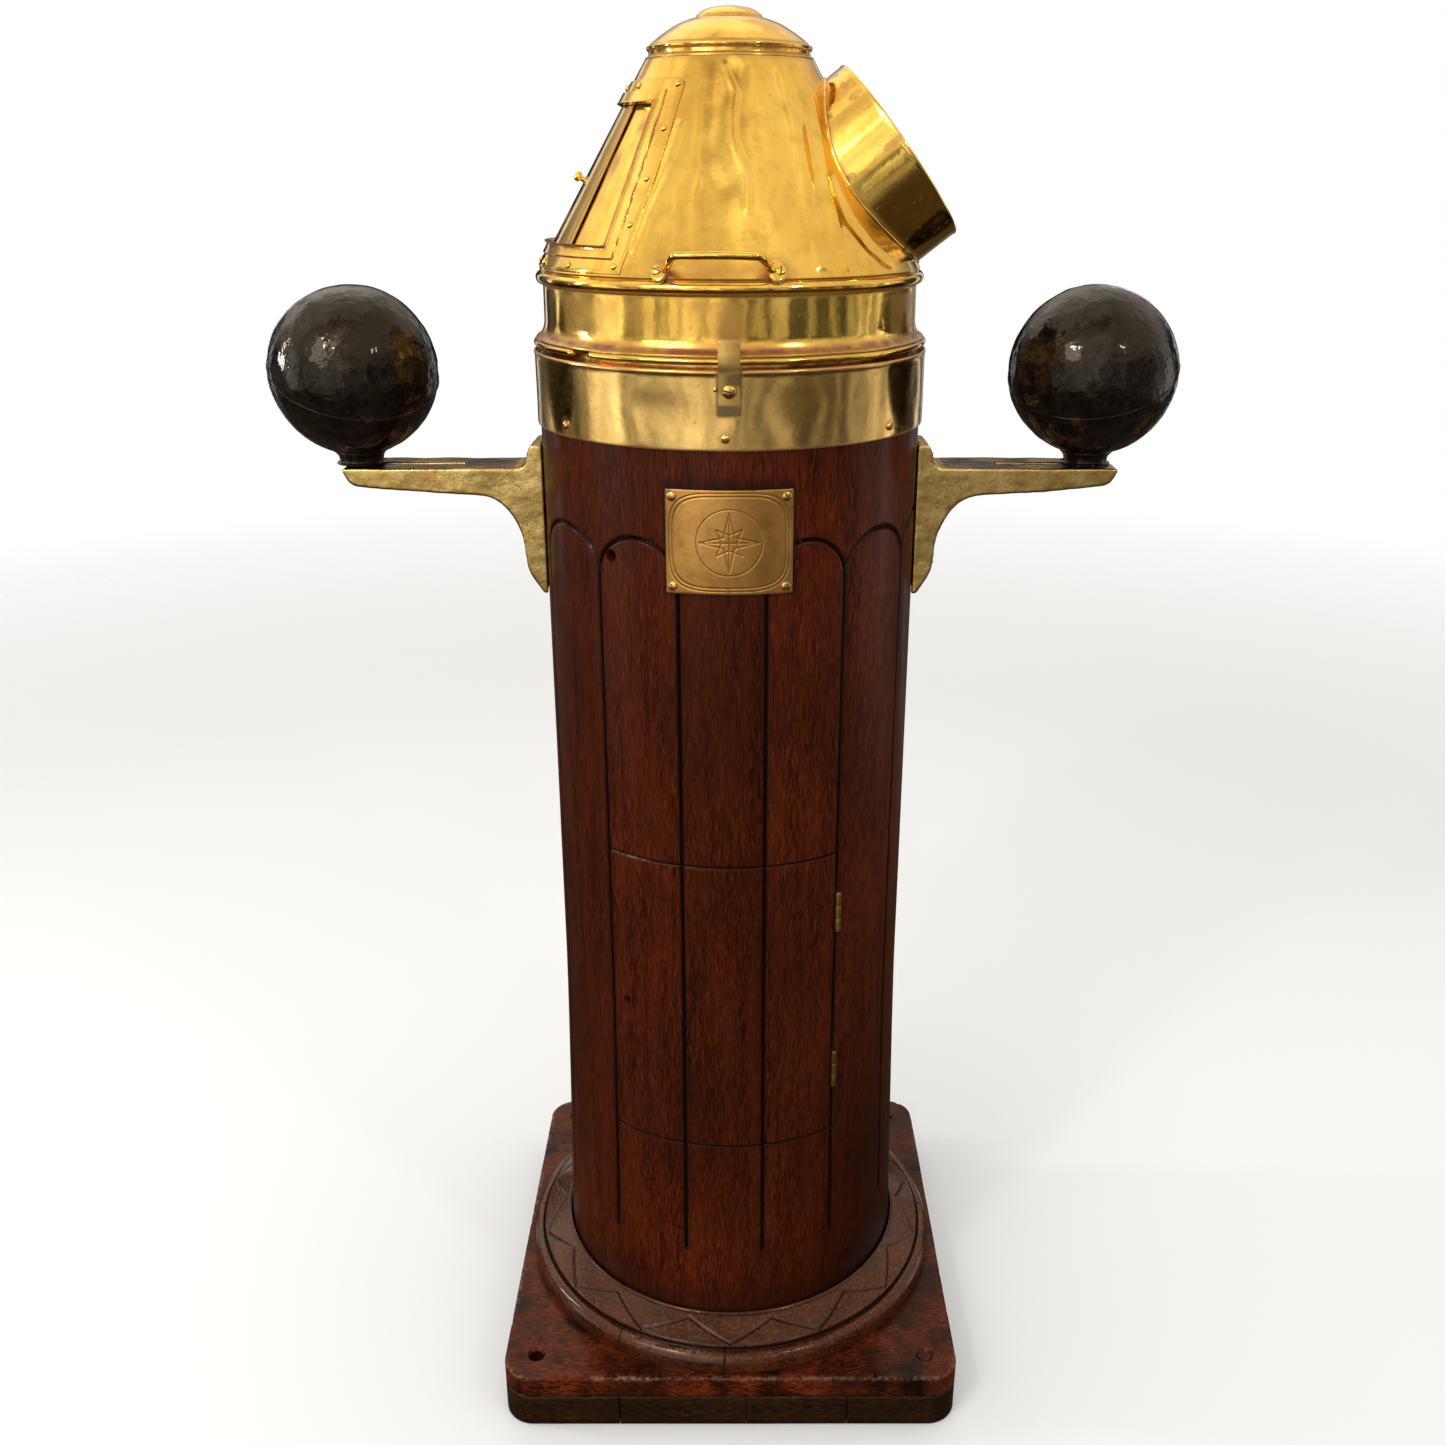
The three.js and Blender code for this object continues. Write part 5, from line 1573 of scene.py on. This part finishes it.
def make_hood():
    section = hood_profile()
    cut_from, cut_to = HOOD_CUT_EDGE - 180, -HOOD_CUT_EDGE
    columns = merged(np.arange(-180, 180, 0.4), [cut_from, cut_to], [-WINDOW_EDGE - 1])
    angle, z = np.meshgrid(columns, section[:, 1])
    r = np.repeat(section[:, 0][:, None], len(columns), axis=1)
    r, grime_and_shade = hood_surface(angle, r, z)
    top_z = HOOD_HIGH.z
    inner_line = np.interp(
        section[:, 1],
        [HOOD_LOW.z, HOOD_LOW.z + 6, RIM_Z, CONE_Z, top_z],
        [169.5, 165 - SHEET, 165 - SHEET, CONE_R - SHEET * CONE_STRETCH, TOP_R - SHEET * CONE_STRETCH],
    )
    inner = polar(angle, inner_line[:, None], z)
    middle = (section[:-1, 1] + section[1:, 1]) / 2
    sides = np.append((columns[:-1] + columns[1:]) / 2, 180)
    in_height = (middle > HOOD_CUT_LOW) & (middle < HOOD_CUT_TOP)
    window = in_height[:, None] & ((sides > cut_from) & (sides < cut_to))[None, :]
    hood = shell("hood_body", polar(angle, r, z), inner, ~window, wrap=True, marks={"grime_and_shade": grime_and_shade})
    bore = moved(rod("tube_tool", TUBE_R - TUBE_WALL, -TUBE_R * 2, 20, 0, columns=128), at_tube())
    cut(hood, bore)
    fit(hood, "hood", "hood_brass", "hood_shell")


def make_cap():
    """The hood's cap: a collar, a rolled rim, a dome and a raised crown."""
    low, top = CAP_LOW.z, CAP_HIGH.z
    section = rounded([
        (66, low, 0), (71.6, low, 0), (71.4, low + 1.6, 0.8), (68.6, low + 2.8, 0.8), (68.2, low + 6.4, 0.6),
        (69.9, low + 7.4, 0.9), (70.2, low + 10.2, 1.4), (67.4, low + 11.2, 0.6), (66.6, low + 12.6, 1),
        (57.6, low + 19.4, 6), (44, low + 27.6, 6), (32.5, low + 31.6, 3), (28.6, low + 32.2, 1),
        (27.6, low + 34.6, 2), (20, low + 39.6, 8), (9, top - 0.3, 6), (0, top, 0), (0, top - 3, 0),
        (24, low + 31.8, 4), (41, low + 25.5, 4), (64, low + 9, 3), (66, low, 0),
    ], 6)[:-1]

    def knocks(angle, r, z):
        points = polar(angle, r, z)
        move = 0.3 * noise(points, 20, 111) + 0.14 * noise(points, 8, 112)
        return move * smoothstep(low + 9, low + 14, z) * (r > 4)

    def tarnish(angle, r, z):
        lines = sum(bell(z - low - at, 0.9) for at in (0.4, 2.9, 6.9, 11.2))
        crown = bell(r - 29.5, 1.6) * (z > low + 30)
        return np.clip(0.6 * lines + 0.5 * crown, 0, 1)

    cap = turned("hood_cap_spun", section, knocks, columns=200, step=1.6, marks={"grime_and_shade": tarnish})
    fit(cap, "hood", "hood_brass", "hood_cap")


def at_tube():
    """The viewing tube's place: Z along its axis, zero at its open face."""
    return Matrix.Translation(TUBE_FACE) @ Matrix.Rotation(math.radians(90 - TUBE_TILT), 4, "Y")


def tube_depth(turn, r, off=0.0):
    """How far behind its face the tube's wall meets the cone, standing off it by a distance."""
    place = at_tube()
    flat = np.stack([r * np.cos(turn), r * np.sin(turn), np.zeros_like(turn)], axis=1)
    start = np.array([place @ Vector(point) for point in flat])
    axis = np.array(place.to_3x3() @ Vector((0, 0, 1)))
    near, far = np.zeros(len(turn)), np.full(len(turn), 130.0)
    for _ in range(40):
        middle = (near + far) / 2
        point = start - axis * middle[:, None]
        outside = np.hypot(point[:, 0], point[:, 1]) > cone_radius(point[:, 2]) + off * CONE_STRETCH
        near, far = np.where(outside, middle, near), np.where(outside, far, middle)
    return near


def tube_wall(turn, r, off):
    """A grid of points from the cone out to the tube's face."""
    along = merged(np.linspace(0, 0.96, 36), [0.97, 0.98, 0.99, 1.0])[:, None]
    depth = tube_depth(turn, r, off)[None, :] * (1 - along)
    x, y = (r * np.cos(turn))[None, :], (r * np.sin(turn))[None, :]
    return np.stack(np.broadcast_arrays(x, y, -depth), axis=-1)


def make_tube():
    """The viewing tube with its turned lip and its solder seam."""
    turn = np.linspace(0, 2 * np.pi, 260, endpoint=False)
    outer, inner = tube_wall(turn, TUBE_R, -0.6), tube_wall(turn, TUBE_R - TUBE_WALL, -1.4)
    from_face = -outer[..., 2]
    knock = 0.28 * noise(outer, 34, 121, (1, 1, 0.3)) + 0.07 * noise(outer, 9, 122, (1, 1, 0.5))
    lip = 0.5 * bell(from_face - 1.6, 1.3) - 0.5 * fading(from_face, 0.4)
    seam_gap = tube_depth(turn, TUBE_R)[None, :] - from_face
    knock = knock * smoothstep(0, 10, from_face) * smoothstep(0, 8, seam_gap)
    outer[..., :2] *= (1 + (knock + lip) / TUBE_R)[..., None]
    grime_and_shade = 0.8 * bell(seam_gap, 3) + 0.4 * (noise(outer, 12, 123) > 0.62)
    tube = shell("viewing_tube_spun", outer, inner, wrap=True, marks={"grime_and_shade": np.clip(grime_and_shade, 0, 1)})
    fit(moved(tube, at_tube()), "hood", "hood_brass", "viewing_tube")

    bead_r = TUBE_R + 0.5
    path = np.stack([bead_r * np.cos(turn), bead_r * np.sin(turn), -tube_depth(turn, bead_r, 0.2)], axis=1)
    size = 1 + 0.35 * noise(path, 9, 124)
    seam = swept("viewing_tube_solder", path, circle(1.5, 10), (0, 0, 1), scale=size, closed=True)
    fit(moved(seam, at_tube()), "hood", "hood_brass")


def make_tube_glass():
    """The glass in the viewing tube, trimmed to the cone, and the ring that holds it."""
    glass_r = TUBE_R - TUBE_WALL - 0.4
    glass_z = -22
    pane = rod("viewing_tube_glass", glass_r, glass_z - 3, glass_z, 0.4, columns=160)
    moved(pane, at_tube())
    cone = [
        (0, HOOD_LOW.z), (CONE_R + 1, HOOD_LOW.z), (CONE_R + 1, CONE_Z), (TOP_R + 0.4, HOOD_HIGH.z + 1),
        (0, HOOD_HIGH.z + 1)
    ]
    cut(pane, turned("cone_tool", cone, columns=160))
    fit(pane, "hood", "clear_glass", "tube_glass")
    ring = rounded([
        (glass_r - 5.6, glass_z + 0.3, 0), (glass_r, glass_z + 0.3, 0), (glass_r, glass_z + 4.3, 0.6),
        (glass_r - 5.6, glass_z + 3.2, 0.8), (glass_r - 5.6, glass_z + 0.3, 0),
    ])[:-1]
    ring = turned("viewing_tube_ring", ring, columns=160)
    fit(moved(ring, at_tube()), "hood", "hood_brass", "tube_glass_ring")


FRAME_LOW = 1111
FRAME_TOP = 1258


def frame_edge(z):
    """The angle of the window frame's outer side edge, which leans away as the cone narrows."""
    t = (z - FRAME_LOW) / (FRAME_TOP - FRAME_LOW)
    corner = np.clip(z - (FRAME_TOP - 7), 0, 7)
    inset = 7 - np.sqrt(np.maximum(49 - corner**2, 0))
    return 31.5 - 7.0 * t + np.degrees(inset / cone_radius(z))


def frame_height(angle, z):
    """How far the frame stands off the cone: a flat strip and a raised lip round the window."""
    lip_out = 35.2 - 1.6 * (z - FRAME_LOW) / (FRAME_TOP - FRAME_LOW)
    side = np.radians(np.abs(angle + 90)) * cone_radius(z)
    lip_edge = np.radians(90 - lip_out) * cone_radius(z)
    window_edge = np.radians(90 - WINDOW_EDGE) * cone_radius(z)
    over_side = smoothstep(lip_edge + 0.5, lip_edge - 0.5, side)
    over_low = smoothstep(1120.6, 1121.4, z) * smoothstep(1248.4, 1247.6, z)
    lip = over_side * over_low
    beside, below = np.clip(side - window_edge, 0, None), np.clip(WINDOW_LOW - z, 0, None)
    curl = 1.7 * fading(beside, 1.3) * (z > WINDOW_LOW - 1) * (z < WINDOW_TOP + 1)
    curl = curl + 1.5 * fading(below, 1.2) * (z < WINDOW_LOW + 1) * (side < window_edge + 1)
    along_top = smoothstep(WINDOW_TOP - 4, WINDOW_TOP - 1, z) * smoothstep(window_edge, window_edge - 4, side)
    return 1.8 + 1.7 * lip + curl * lip * (1 - 0.8 * along_top)


def frame_rows():
    """The heights of the frame's rows of points, close together at its edges and its lip."""
    return merged(
        np.arange(FRAME_LOW, FRAME_TOP, 2.4), [FRAME_TOP],
        [FRAME_LOW + 0.5, FRAME_TOP - 0.4, FRAME_TOP - 1.2], np.arange(1119.6, 1122.4, 0.35),
        np.arange(1126.5, 1130, 0.5), [WINDOW_LOW, WINDOW_TOP], np.arange(1238, 1240.5, 0.5),
        np.arange(1246.6, 1249.4, 0.35), np.arange(FRAME_TOP - 7, FRAME_TOP, 0.7),
    )


def frame_grid(rows):
    """The angle and height of each of the frame's points, with more columns at its sides."""
    strip = merged(np.linspace(0, 1, 26), np.arange(0.35, 0.62, 0.018), [0.01, 0.03])
    middle = np.linspace(-WINDOW_EDGE, -180 + WINDOW_EDGE, 140)[1:-1]
    angles = []
    for z in rows:
        edge = frame_edge(z)
        right = -(edge + (WINDOW_EDGE - edge) * strip)
        angles.append(np.concatenate([right, middle, (-180 - right)[::-1]])[::-1])
    angles = np.array(angles)
    return angles, np.repeat(rows[:, None], angles.shape[1], axis=1)


def make_frame():
    """The sheet frame round the shutter window."""
    rows = frame_rows()
    angle, z = frame_grid(rows)
    off = frame_height(angle, z)
    from_side = np.radians(90 - frame_edge(z) - np.abs(angle + 90)) * 150
    ends = np.minimum(np.minimum(z - FRAME_LOW, FRAME_TOP - z), from_side)
    off = off - 0.7 * fading(np.clip(ends, 0, None), 0.45)
    points = on_cone(angle, z, off)
    off = off + 0.16 * noise(points, 22, 131)
    middle_z = (rows[:-1] + rows[1:]) / 2
    middle_angle = np.abs((angle[0, :-1] + angle[0, 1:]) / 2 + 90)
    in_height = (middle_z > WINDOW_LOW) & (middle_z < WINDOW_TOP)
    window = in_height[:, None] & (middle_angle < 90 - WINDOW_EDGE)[None, :]
    grime_and_shade = 0.55 * fading(np.clip(ends, 0, None), 1.0)
    # Painted shade: dark lines where the frame's height changes, along the bends of its lip.
    across, upwards = (np.abs(np.gradient(frame_height(angle, z), axis=axis)) for axis in (1, 0))
    steps = across + upwards
    grime_and_shade = np.clip(grime_and_shade + 0.8 * np.clip(steps * 1.5, 0, 1), 0, 1)
    outer, inner = on_cone(angle, z, off), on_cone(angle, z, 0.25)
    plate = shell("shutter_frame_plate", outer, inner, ~window, marks={"grime_and_shade": grime_and_shade})
    fit(plate, "hood", "hood_brass", "shutter_frame")


def make_frame_rivets():
    places = []
    for z in (1116, 1147, 1181.5, 1219, 1252.5):
        turn = frame_edge(z) + 2.4 + 1.2 * (z - FRAME_LOW) / (FRAME_TOP - FRAME_LOW)
        places += [(-turn, z), (-180 + turn, z)]
    places += [(-33.8 - 18.73 * i, 1115) for i in range(1, 6)]
    places += [(-28.4 - 30.8 * i, 1252.5) for i in range(1, 4)]
    spots = [facing(on_cone(turn, z, 1.6), cone_normal(turn)) for turn, z in places]
    rivets = copies("shutter_frame_rivets", turned("rivet", dome(2.9, 2.4), columns=28), spots)
    fit(rivets, "hood", "hood_brass")


KNOB_ANGLE = -88
KNOB_Z = 1181


def shutter_leaf(name, start, end, near, far, seed):
    """A curved shutter leaf with a folded front edge."""
    low, high = 1124, 1244
    rows = np.linspace(low, high, 60)
    columns = merged(np.linspace(start, end, 90), start - np.array([0.2, 0.5, 0.9, 1.4, 2.0]))
    angle, z = np.meshgrid(columns, rows)
    fold = 0.25 * smoothstep(2.2, 1.2, np.abs(angle - start))
    points = on_cone(angle, z, far)
    ripple = 0.22 * noise(points, 30, seed) + 0.08 * noise(points, 10, seed + 1)
    grime_and_shade = 0.5 * smoothstep(0.45, 0.8, noise(points, 24, seed + 2))
    grime_and_shade = 0.5 * fading(np.abs(angle - start), 0.5) + grime_and_shade
    grime_and_shade = grime_and_shade + 0.5 * fading(high - z, 5)
    outer = on_cone(angle, z, far - 0.15 + fold + ripple * 0.5)
    return shell(name, outer, on_cone(angle, z, near + 0.05), marks={"grime_and_shade": np.clip(grime_and_shade, 0, 1)})


def make_shutters():
    outer = shutter_leaf("shutter_outer_leaf", -58.5, -123, -1.6, -0.6, 141)
    fit(outer, "outer_leaf", "hood_brass", "shutter_outer")
    inner = shutter_leaf("shutter_inner_leaf", -37.2, -104, -3.5, -2.5, 151)
    fit(inner, "inner_leaf", "hood_brass", "shutter_inner")
    section = rounded([
        (0, -0.5, 0), (2.4, -0.5, 0.2), (2.0, 3.2, 1), (4.2, 4.6, 1), (4.5, 6.6, 1.2), (2.8, 8.8, 1.5),
        (0, 9, 0),
    ])
    knob = turned("shutter_finger_knob", section, columns=40)
    moved(knob, facing(on_cone(KNOB_ANGLE, KNOB_Z, -0.4), cone_normal(KNOB_ANGLE)))
    fit(knob, "outer_leaf", "hood_brass", "shutter_knob")


BEAD_GAP = -45
BEAD_HALF_GAP = 3.2


def make_bead():
    """The half-round wire soldered round the hood's foot, with its open joint."""
    low, high = extent("hood_bead")
    r, z = high.x - 3, (low.z + high.z) / 2
    angle = np.linspace(BEAD_GAP + BEAD_HALF_GAP, BEAD_GAP - BEAD_HALF_GAP + FULL_TURN, 420)
    path = polar(angle, r, z + 0.25 * noise(polar(angle, r, z), 40, 161))
    fade = np.minimum(angle - angle[0], angle[-1] - angle)
    scale = 0.55 + 0.45 * np.clip(fade / 0.7, 0, 1) ** 0.5
    bead = swept("hood_foot_bead", path, circle(2.9, 14), (0, 0, 1), scale=scale)
    marked(bead, "grime_and_shade", lambda points, normals: 0.5 * smoothstep(0.2, 1.0, normals[:, 2]))
    fit(bead, "hood", "hood_brass", "hood_bead")


HANDLE_ANGLE = -3
HANDLE_HALF = 16.1
HANDLE_Z = 1114
HANDLE_RISE = 25


def make_handle(end, middle):
    """A bail handle: oval pads screwed to the cone, and a bent grip between them."""
    t = np.linspace(-1, 1, 73)
    off = 1.5 + (HANDLE_RISE - 1.5) * smoothstep(1.0, 0.62, np.abs(t))
    lean = 1.5 * (1 - t**2)
    path = np.array([on_cone(middle + turn * (HANDLE_HALF - 0.8), HANDLE_Z + rise, height)
                     for turn, rise, height in zip(t, lean, off)])
    path = spaced(path, 2.0)
    thick = 1 - 0.18 * smoothstep(0.7, 1.0, np.abs(np.linspace(-1, 1, len(path))))
    grip = swept("grip", path, circle(3.3, 16), (0, 0, 1), scale=thick)
    parts, screws = [grip], []
    for side in (-1, 1):
        turn = middle + side * HANDLE_HALF
        section = rounded([(0, -0.8, 0), (8.4, -0.8, 0), (8.6, 1.8, 1.2), (6.8, 3.0, 1.4), (0, 3.2, 0)])
        pad = turned("pad", section, columns=48)
        place = facing(on_cone(turn, HANDLE_Z, 0.4), cone_normal(turn))
        parts.append(moved(pad, place @ Matrix.Diagonal((0.86, 1.16, 1, 1))))
        screws.append(facing(on_cone(turn + side * 0.8, HANDLE_Z, 3.2), cone_normal(turn), 35 + 50 * side))
    handle = joined(f"handle_{end}", parts)
    roughened(handle, (9, 0.18, 171))

    def by_the_cone(points, normals):
        blot = 0.55 * smoothstep(-0.2, 0.5, noise(points, 12, 172))
        return blot * smoothstep(176, 168, np.linalg.norm(points[:, :2], axis=1))

    marked(handle, "grime_and_shade", by_the_cone)
    fit(handle, "hood", "hood_brass", f"hood_handle_{end}")
    heads = copies(f"handle_screws_{end}", screw_head("handle_screws", 4.2, 2.0), screws)
    fit(heads, "hood", "hood_brass")


def make_catch(end, angle):
    """A strap that turns on a slotted screw and reaches up in front of the hood's bead."""
    low, high = extent("hood_catch_front")
    side_view = rounded([
        (CATCH_FACE - 0.2, low.z + 0.6, 0), (CATCH_FACE - 0.2, 1039, 4), (CATCH_FACE + 1.2, 1045, 3),
        (CATCH_FACE + 1.3, 1051, 4), (CATCH_FACE - 0.6, high.z - 1.5, 4), (CATCH_FACE - 1.2, high.z - 0.2, 0),
    ])
    path = [(0, -out, z) for out, z in spaced(side_view, 1.5)]
    strap = swept("strap", path, bar(18, 2.2, 0.8), (0, -1, 0))
    hole = moved(rod("hole_tool", 3.3, -8, 8, 0), facing((0, -CATCH_FACE, CATCH_PIVOT_Z), (0, 1, 0)))
    cut(strap, hole)
    strap.name = f"catch_strap_{end}"

    def darkened_places(points, normals):
        # Painted shade: the strap's side edges get a dark outline. It is also darker towards its lower end
        # and at its top tip.
        side, z = np.abs(points[:, 0]), points[:, 2]
        low_end = 0.85 * smoothstep(1041, 1037, z) * smoothstep(-0.9, 0.3, noise(points, 9, 181))
        return np.clip(low_end + 0.5 * smoothstep(7.6, 8.7, side) + 0.3 * smoothstep(1061, 1064, z), 0, 1)

    marked(strap, "grime_and_shade", darkened_places)
    fit(moved(strap, around(angle)), f"catch_{end}", "band_brass", f"hood_catch_{end}", material=CATCH_BRASS)
    head = screw_head("head", 5.7, 3.4, 1.5)
    spin = -14 if end == "front" else 30
    moved(head, facing((0, -(CATCH_FACE + 1.25), CATCH_PIVOT_Z), (0, -1, 0), spin))
    shank = moved(rod("shank", 2.9, 0, 4.5, 0), facing((0, -(BAND_R - 0.5), CATCH_PIVOT_Z), (0, -1, 0)))
    screw = moved(joined(f"catch_pivot_screw_{end}", [head, shank]), around(angle))
    fit(screw, "pedestal", "band_brass", f"catch_screw_{end}")


# ---------------------------------------------------------------- camera, floor and light


CAMERA_PLACE = (0.0046, -1.326, 1.187)
CAMERA_TILT = 68.91
CAMERA_LENS = 35.54
CAMERA_SHIFT = -0.0086
FLOOR_REACH = 30
FLOOR_FADE = (2.0, 4.2)  # metres from the object over which the floor fades into the backdrop


def make_camera():
    data = bpy.data.cameras.new("camera")
    data.lens = CAMERA_LENS
    data.sensor_width = 36
    data.shift_x = CAMERA_SHIFT
    camera = bpy.data.objects.new("camera", data)
    camera.location = CAMERA_PLACE
    camera.rotation_euler = (math.radians(CAMERA_TILT), 0, 0)
    bpy.context.scene.collection.objects.link(camera)
    bpy.context.scene.camera = camera


def make_floor():
    mesh = bpy.data.meshes.new("floor")
    corners = [(x * FLOOR_REACH, y * FLOOR_REACH, 0) for x, y in ((-1, -1), (1, -1), (1, 1), (-1, 1))]
    mesh.from_pydata(corners, [], [(0, 1, 2, 3)])
    floor = named("floor", mesh)
    floor.location.z = -0.0004
    look = Look("floor_pale")
    tone = look.mix(look.noise(900, detail=2), (0.86, 0.86, 0.86), (0.84, 0.84, 0.84))
    radius = look.add("ShaderNodeVectorMath", {0: look.place}, operation="LENGTH").outputs["Value"]
    fade = look.remap(radius, *FLOOR_FADE, 1, 0)
    mesh.materials.append(look.surface(Base_Color=tone, Roughness=0.9, Alpha=fade))
    floor.visible_glossy = False


def soft_light(name, place, target, width, height, power):
    data = bpy.data.lights.new(name, "AREA")
    data.shape = "RECTANGLE"
    data.size = width
    data.size_y = height
    data.energy = power
    light = bpy.data.objects.new(name, data)
    light.location = place
    light.rotation_euler = (Vector(target) - Vector(place)).to_track_quat("-Z", "Y").to_euler()
    bpy.context.scene.collection.objects.link(light)
    return light


def make_studio():
    """A pale backdrop and even light, and a room of soft panels and dark gaps in reflections."""
    world = bpy.data.worlds.new("studio")
    bpy.context.scene.world = world
    world.use_nodes = True
    world.node_tree.nodes.clear()
    nodes = Nodes(world.node_tree)
    towards = nodes.add("ShaderNodeTexCoord").outputs["Generated"]
    x, y, z = nodes.add("ShaderNodeSeparateXYZ", {0: towards}).outputs
    turn = nodes.math("ARCTAN2", x, nodes.math("MULTIPLY", y, -1.0, clamp=False), clamp=False)
    share = nodes.remap(turn, -math.pi, math.pi)
    walls = nodes.add("ShaderNodeValToRGB", {"Fac": share})
    stops = walls.color_ramp.elements
    while len(stops) < len(WALL_LEVELS):
        stops.new(0.5)
    for stop, (angle, level) in zip(stops, WALL_LEVELS):
        stop.position = angle / FULL_TURN + 0.5
        stop.color = (level, level, level, 1)
    streaks = nodes.remap(nodes.clouds(towards, (8, 8, 1.1), 3.3), 0.4, 0.62, 0.25, 1.5)
    scaled = nodes.add("ShaderNodeVectorMath", {0: walls.outputs[0], "Scale": streaks}, operation="SCALE")
    sides = scaled.outputs[0]
    patches = nodes.remap(nodes.clouds(towards, (2.4, 2.4, 1.5), 8.1, detail=4), 0.38, 0.56)
    ceiling = nodes.mix(patches, CEILING_DARK, CEILING_LIGHT)
    dim = nodes.math("MULTIPLY", nodes.remap(z, 0.86, 0.97), nodes.remap(patches, 0.2, 0.8, 1, 0.35))
    ceiling = nodes.mix(dim, ceiling, ZENITH)
    ceiling = nodes.mix(nodes.remap(x, 0.1, 0.4, 0, 0.9), ceiling, CEILING_DARK)
    room = nodes.mix(nodes.remap(z, 0.14, 0.5), sides, ceiling)
    room = nodes.mix(nodes.remap(z, -0.16, -0.42), room, GROUND_LIGHT)
    paths = nodes.add("ShaderNodeLightPath").outputs
    seen = nodes.mix(paths["Is Glossy Ray"], EVEN_LIGHT, room)
    seen = nodes.mix(paths["Is Camera Ray"], seen, BACKDROP)
    shade = nodes.add("ShaderNodeBackground", {"Color": seen})
    nodes.add("ShaderNodeOutputWorld", {"Surface": shade.outputs[0]})


# How bright the room is at each angle round it, from behind the object round by its left.
WALL_LEVELS = [
    (-180, 0.02), (-158, 0.03), (-154, 1.0), (-150, 0.05), (-136, 0.08), (-131, 1.2), (-125, 0.10),
    (-110, 0.14), (-92, 0.25), (-84, 1.7), (-70, 1.5), (-64, 0.7), (-44, 0.8), (-30, 0.9), (-20, 1.3),
    (4, 1.1), (14, 0.45), (44, 0.35), (54, 0.14), (66, 0.6), (72, 0.14), (84, 0.6), (94, 1.5), (116, 1.1),
    (124, 0.05), (140, 0.04), (146, 1.0), (151, 0.04), (164, 0.6), (168, 0.02), (180, 0.02),
]
CEILING_DARK = (0.88, 0.80, 0.68)
CEILING_LIGHT = (1.62, 1.48, 1.27)
ZENITH = (0.24, 0.20, 0.15)
GROUND_LIGHT = (0.060, 0.045, 0.030)
EVEN_LIGHT = (0.80, 0.78, 0.74)
BACKDROP = (1.0, 1.0, 1.0)


def make_lights():
    target = (0, 0, 0.7)
    soft_light("key_panel", (-1.5, -1.9, 2.3), target, 1.3, 1.3, 16)
    soft_light("left_lamp", (-1.08, -1.54, 2.42), target, 0.16, 0.24, 8)
    soft_light("right_lamp", (1.28, -1.52, 2.25), target, 0.16, 0.24, 5)
    soft_light("left_strip", (-2.4, 0.2, 1.5), target, 0.14, 0.8, 9)
    top = soft_light("top_panel", (0.1, 0.2, 3.2), target, 1.8, 1.8, 22)
    top.visible_glossy = False


make_camera()
make_plinth()
make_foot_ring()
make_pillar()
make_door()
make_hinges()
make_lock()
make_cupboard()
make_heeling_gear()
make_nameplate()
make_band()
make_band_fasteners()
for name, turn, first_seed in (("left", 180, 201), ("right", 0, 211)):
    make_bracket(name, turn)
    make_sphere(name, first_seed)
make_chamber()
make_gimbal_ring()
make_bowl()
make_card()
make_hood()
make_cap()
make_tube()
make_tube_glass()
make_frame()
make_frame_rivets()
make_shutters()
make_bead()
for name, turn in (("front", 0), ("rear", 180)):
    make_handle(name, HANDLE_ANGLE if name == "front" else turn)
    make_catch(name, turn)
make_floor()
make_studio()
make_lights()
bpy.context.scene.view_settings.view_transform = "Standard"
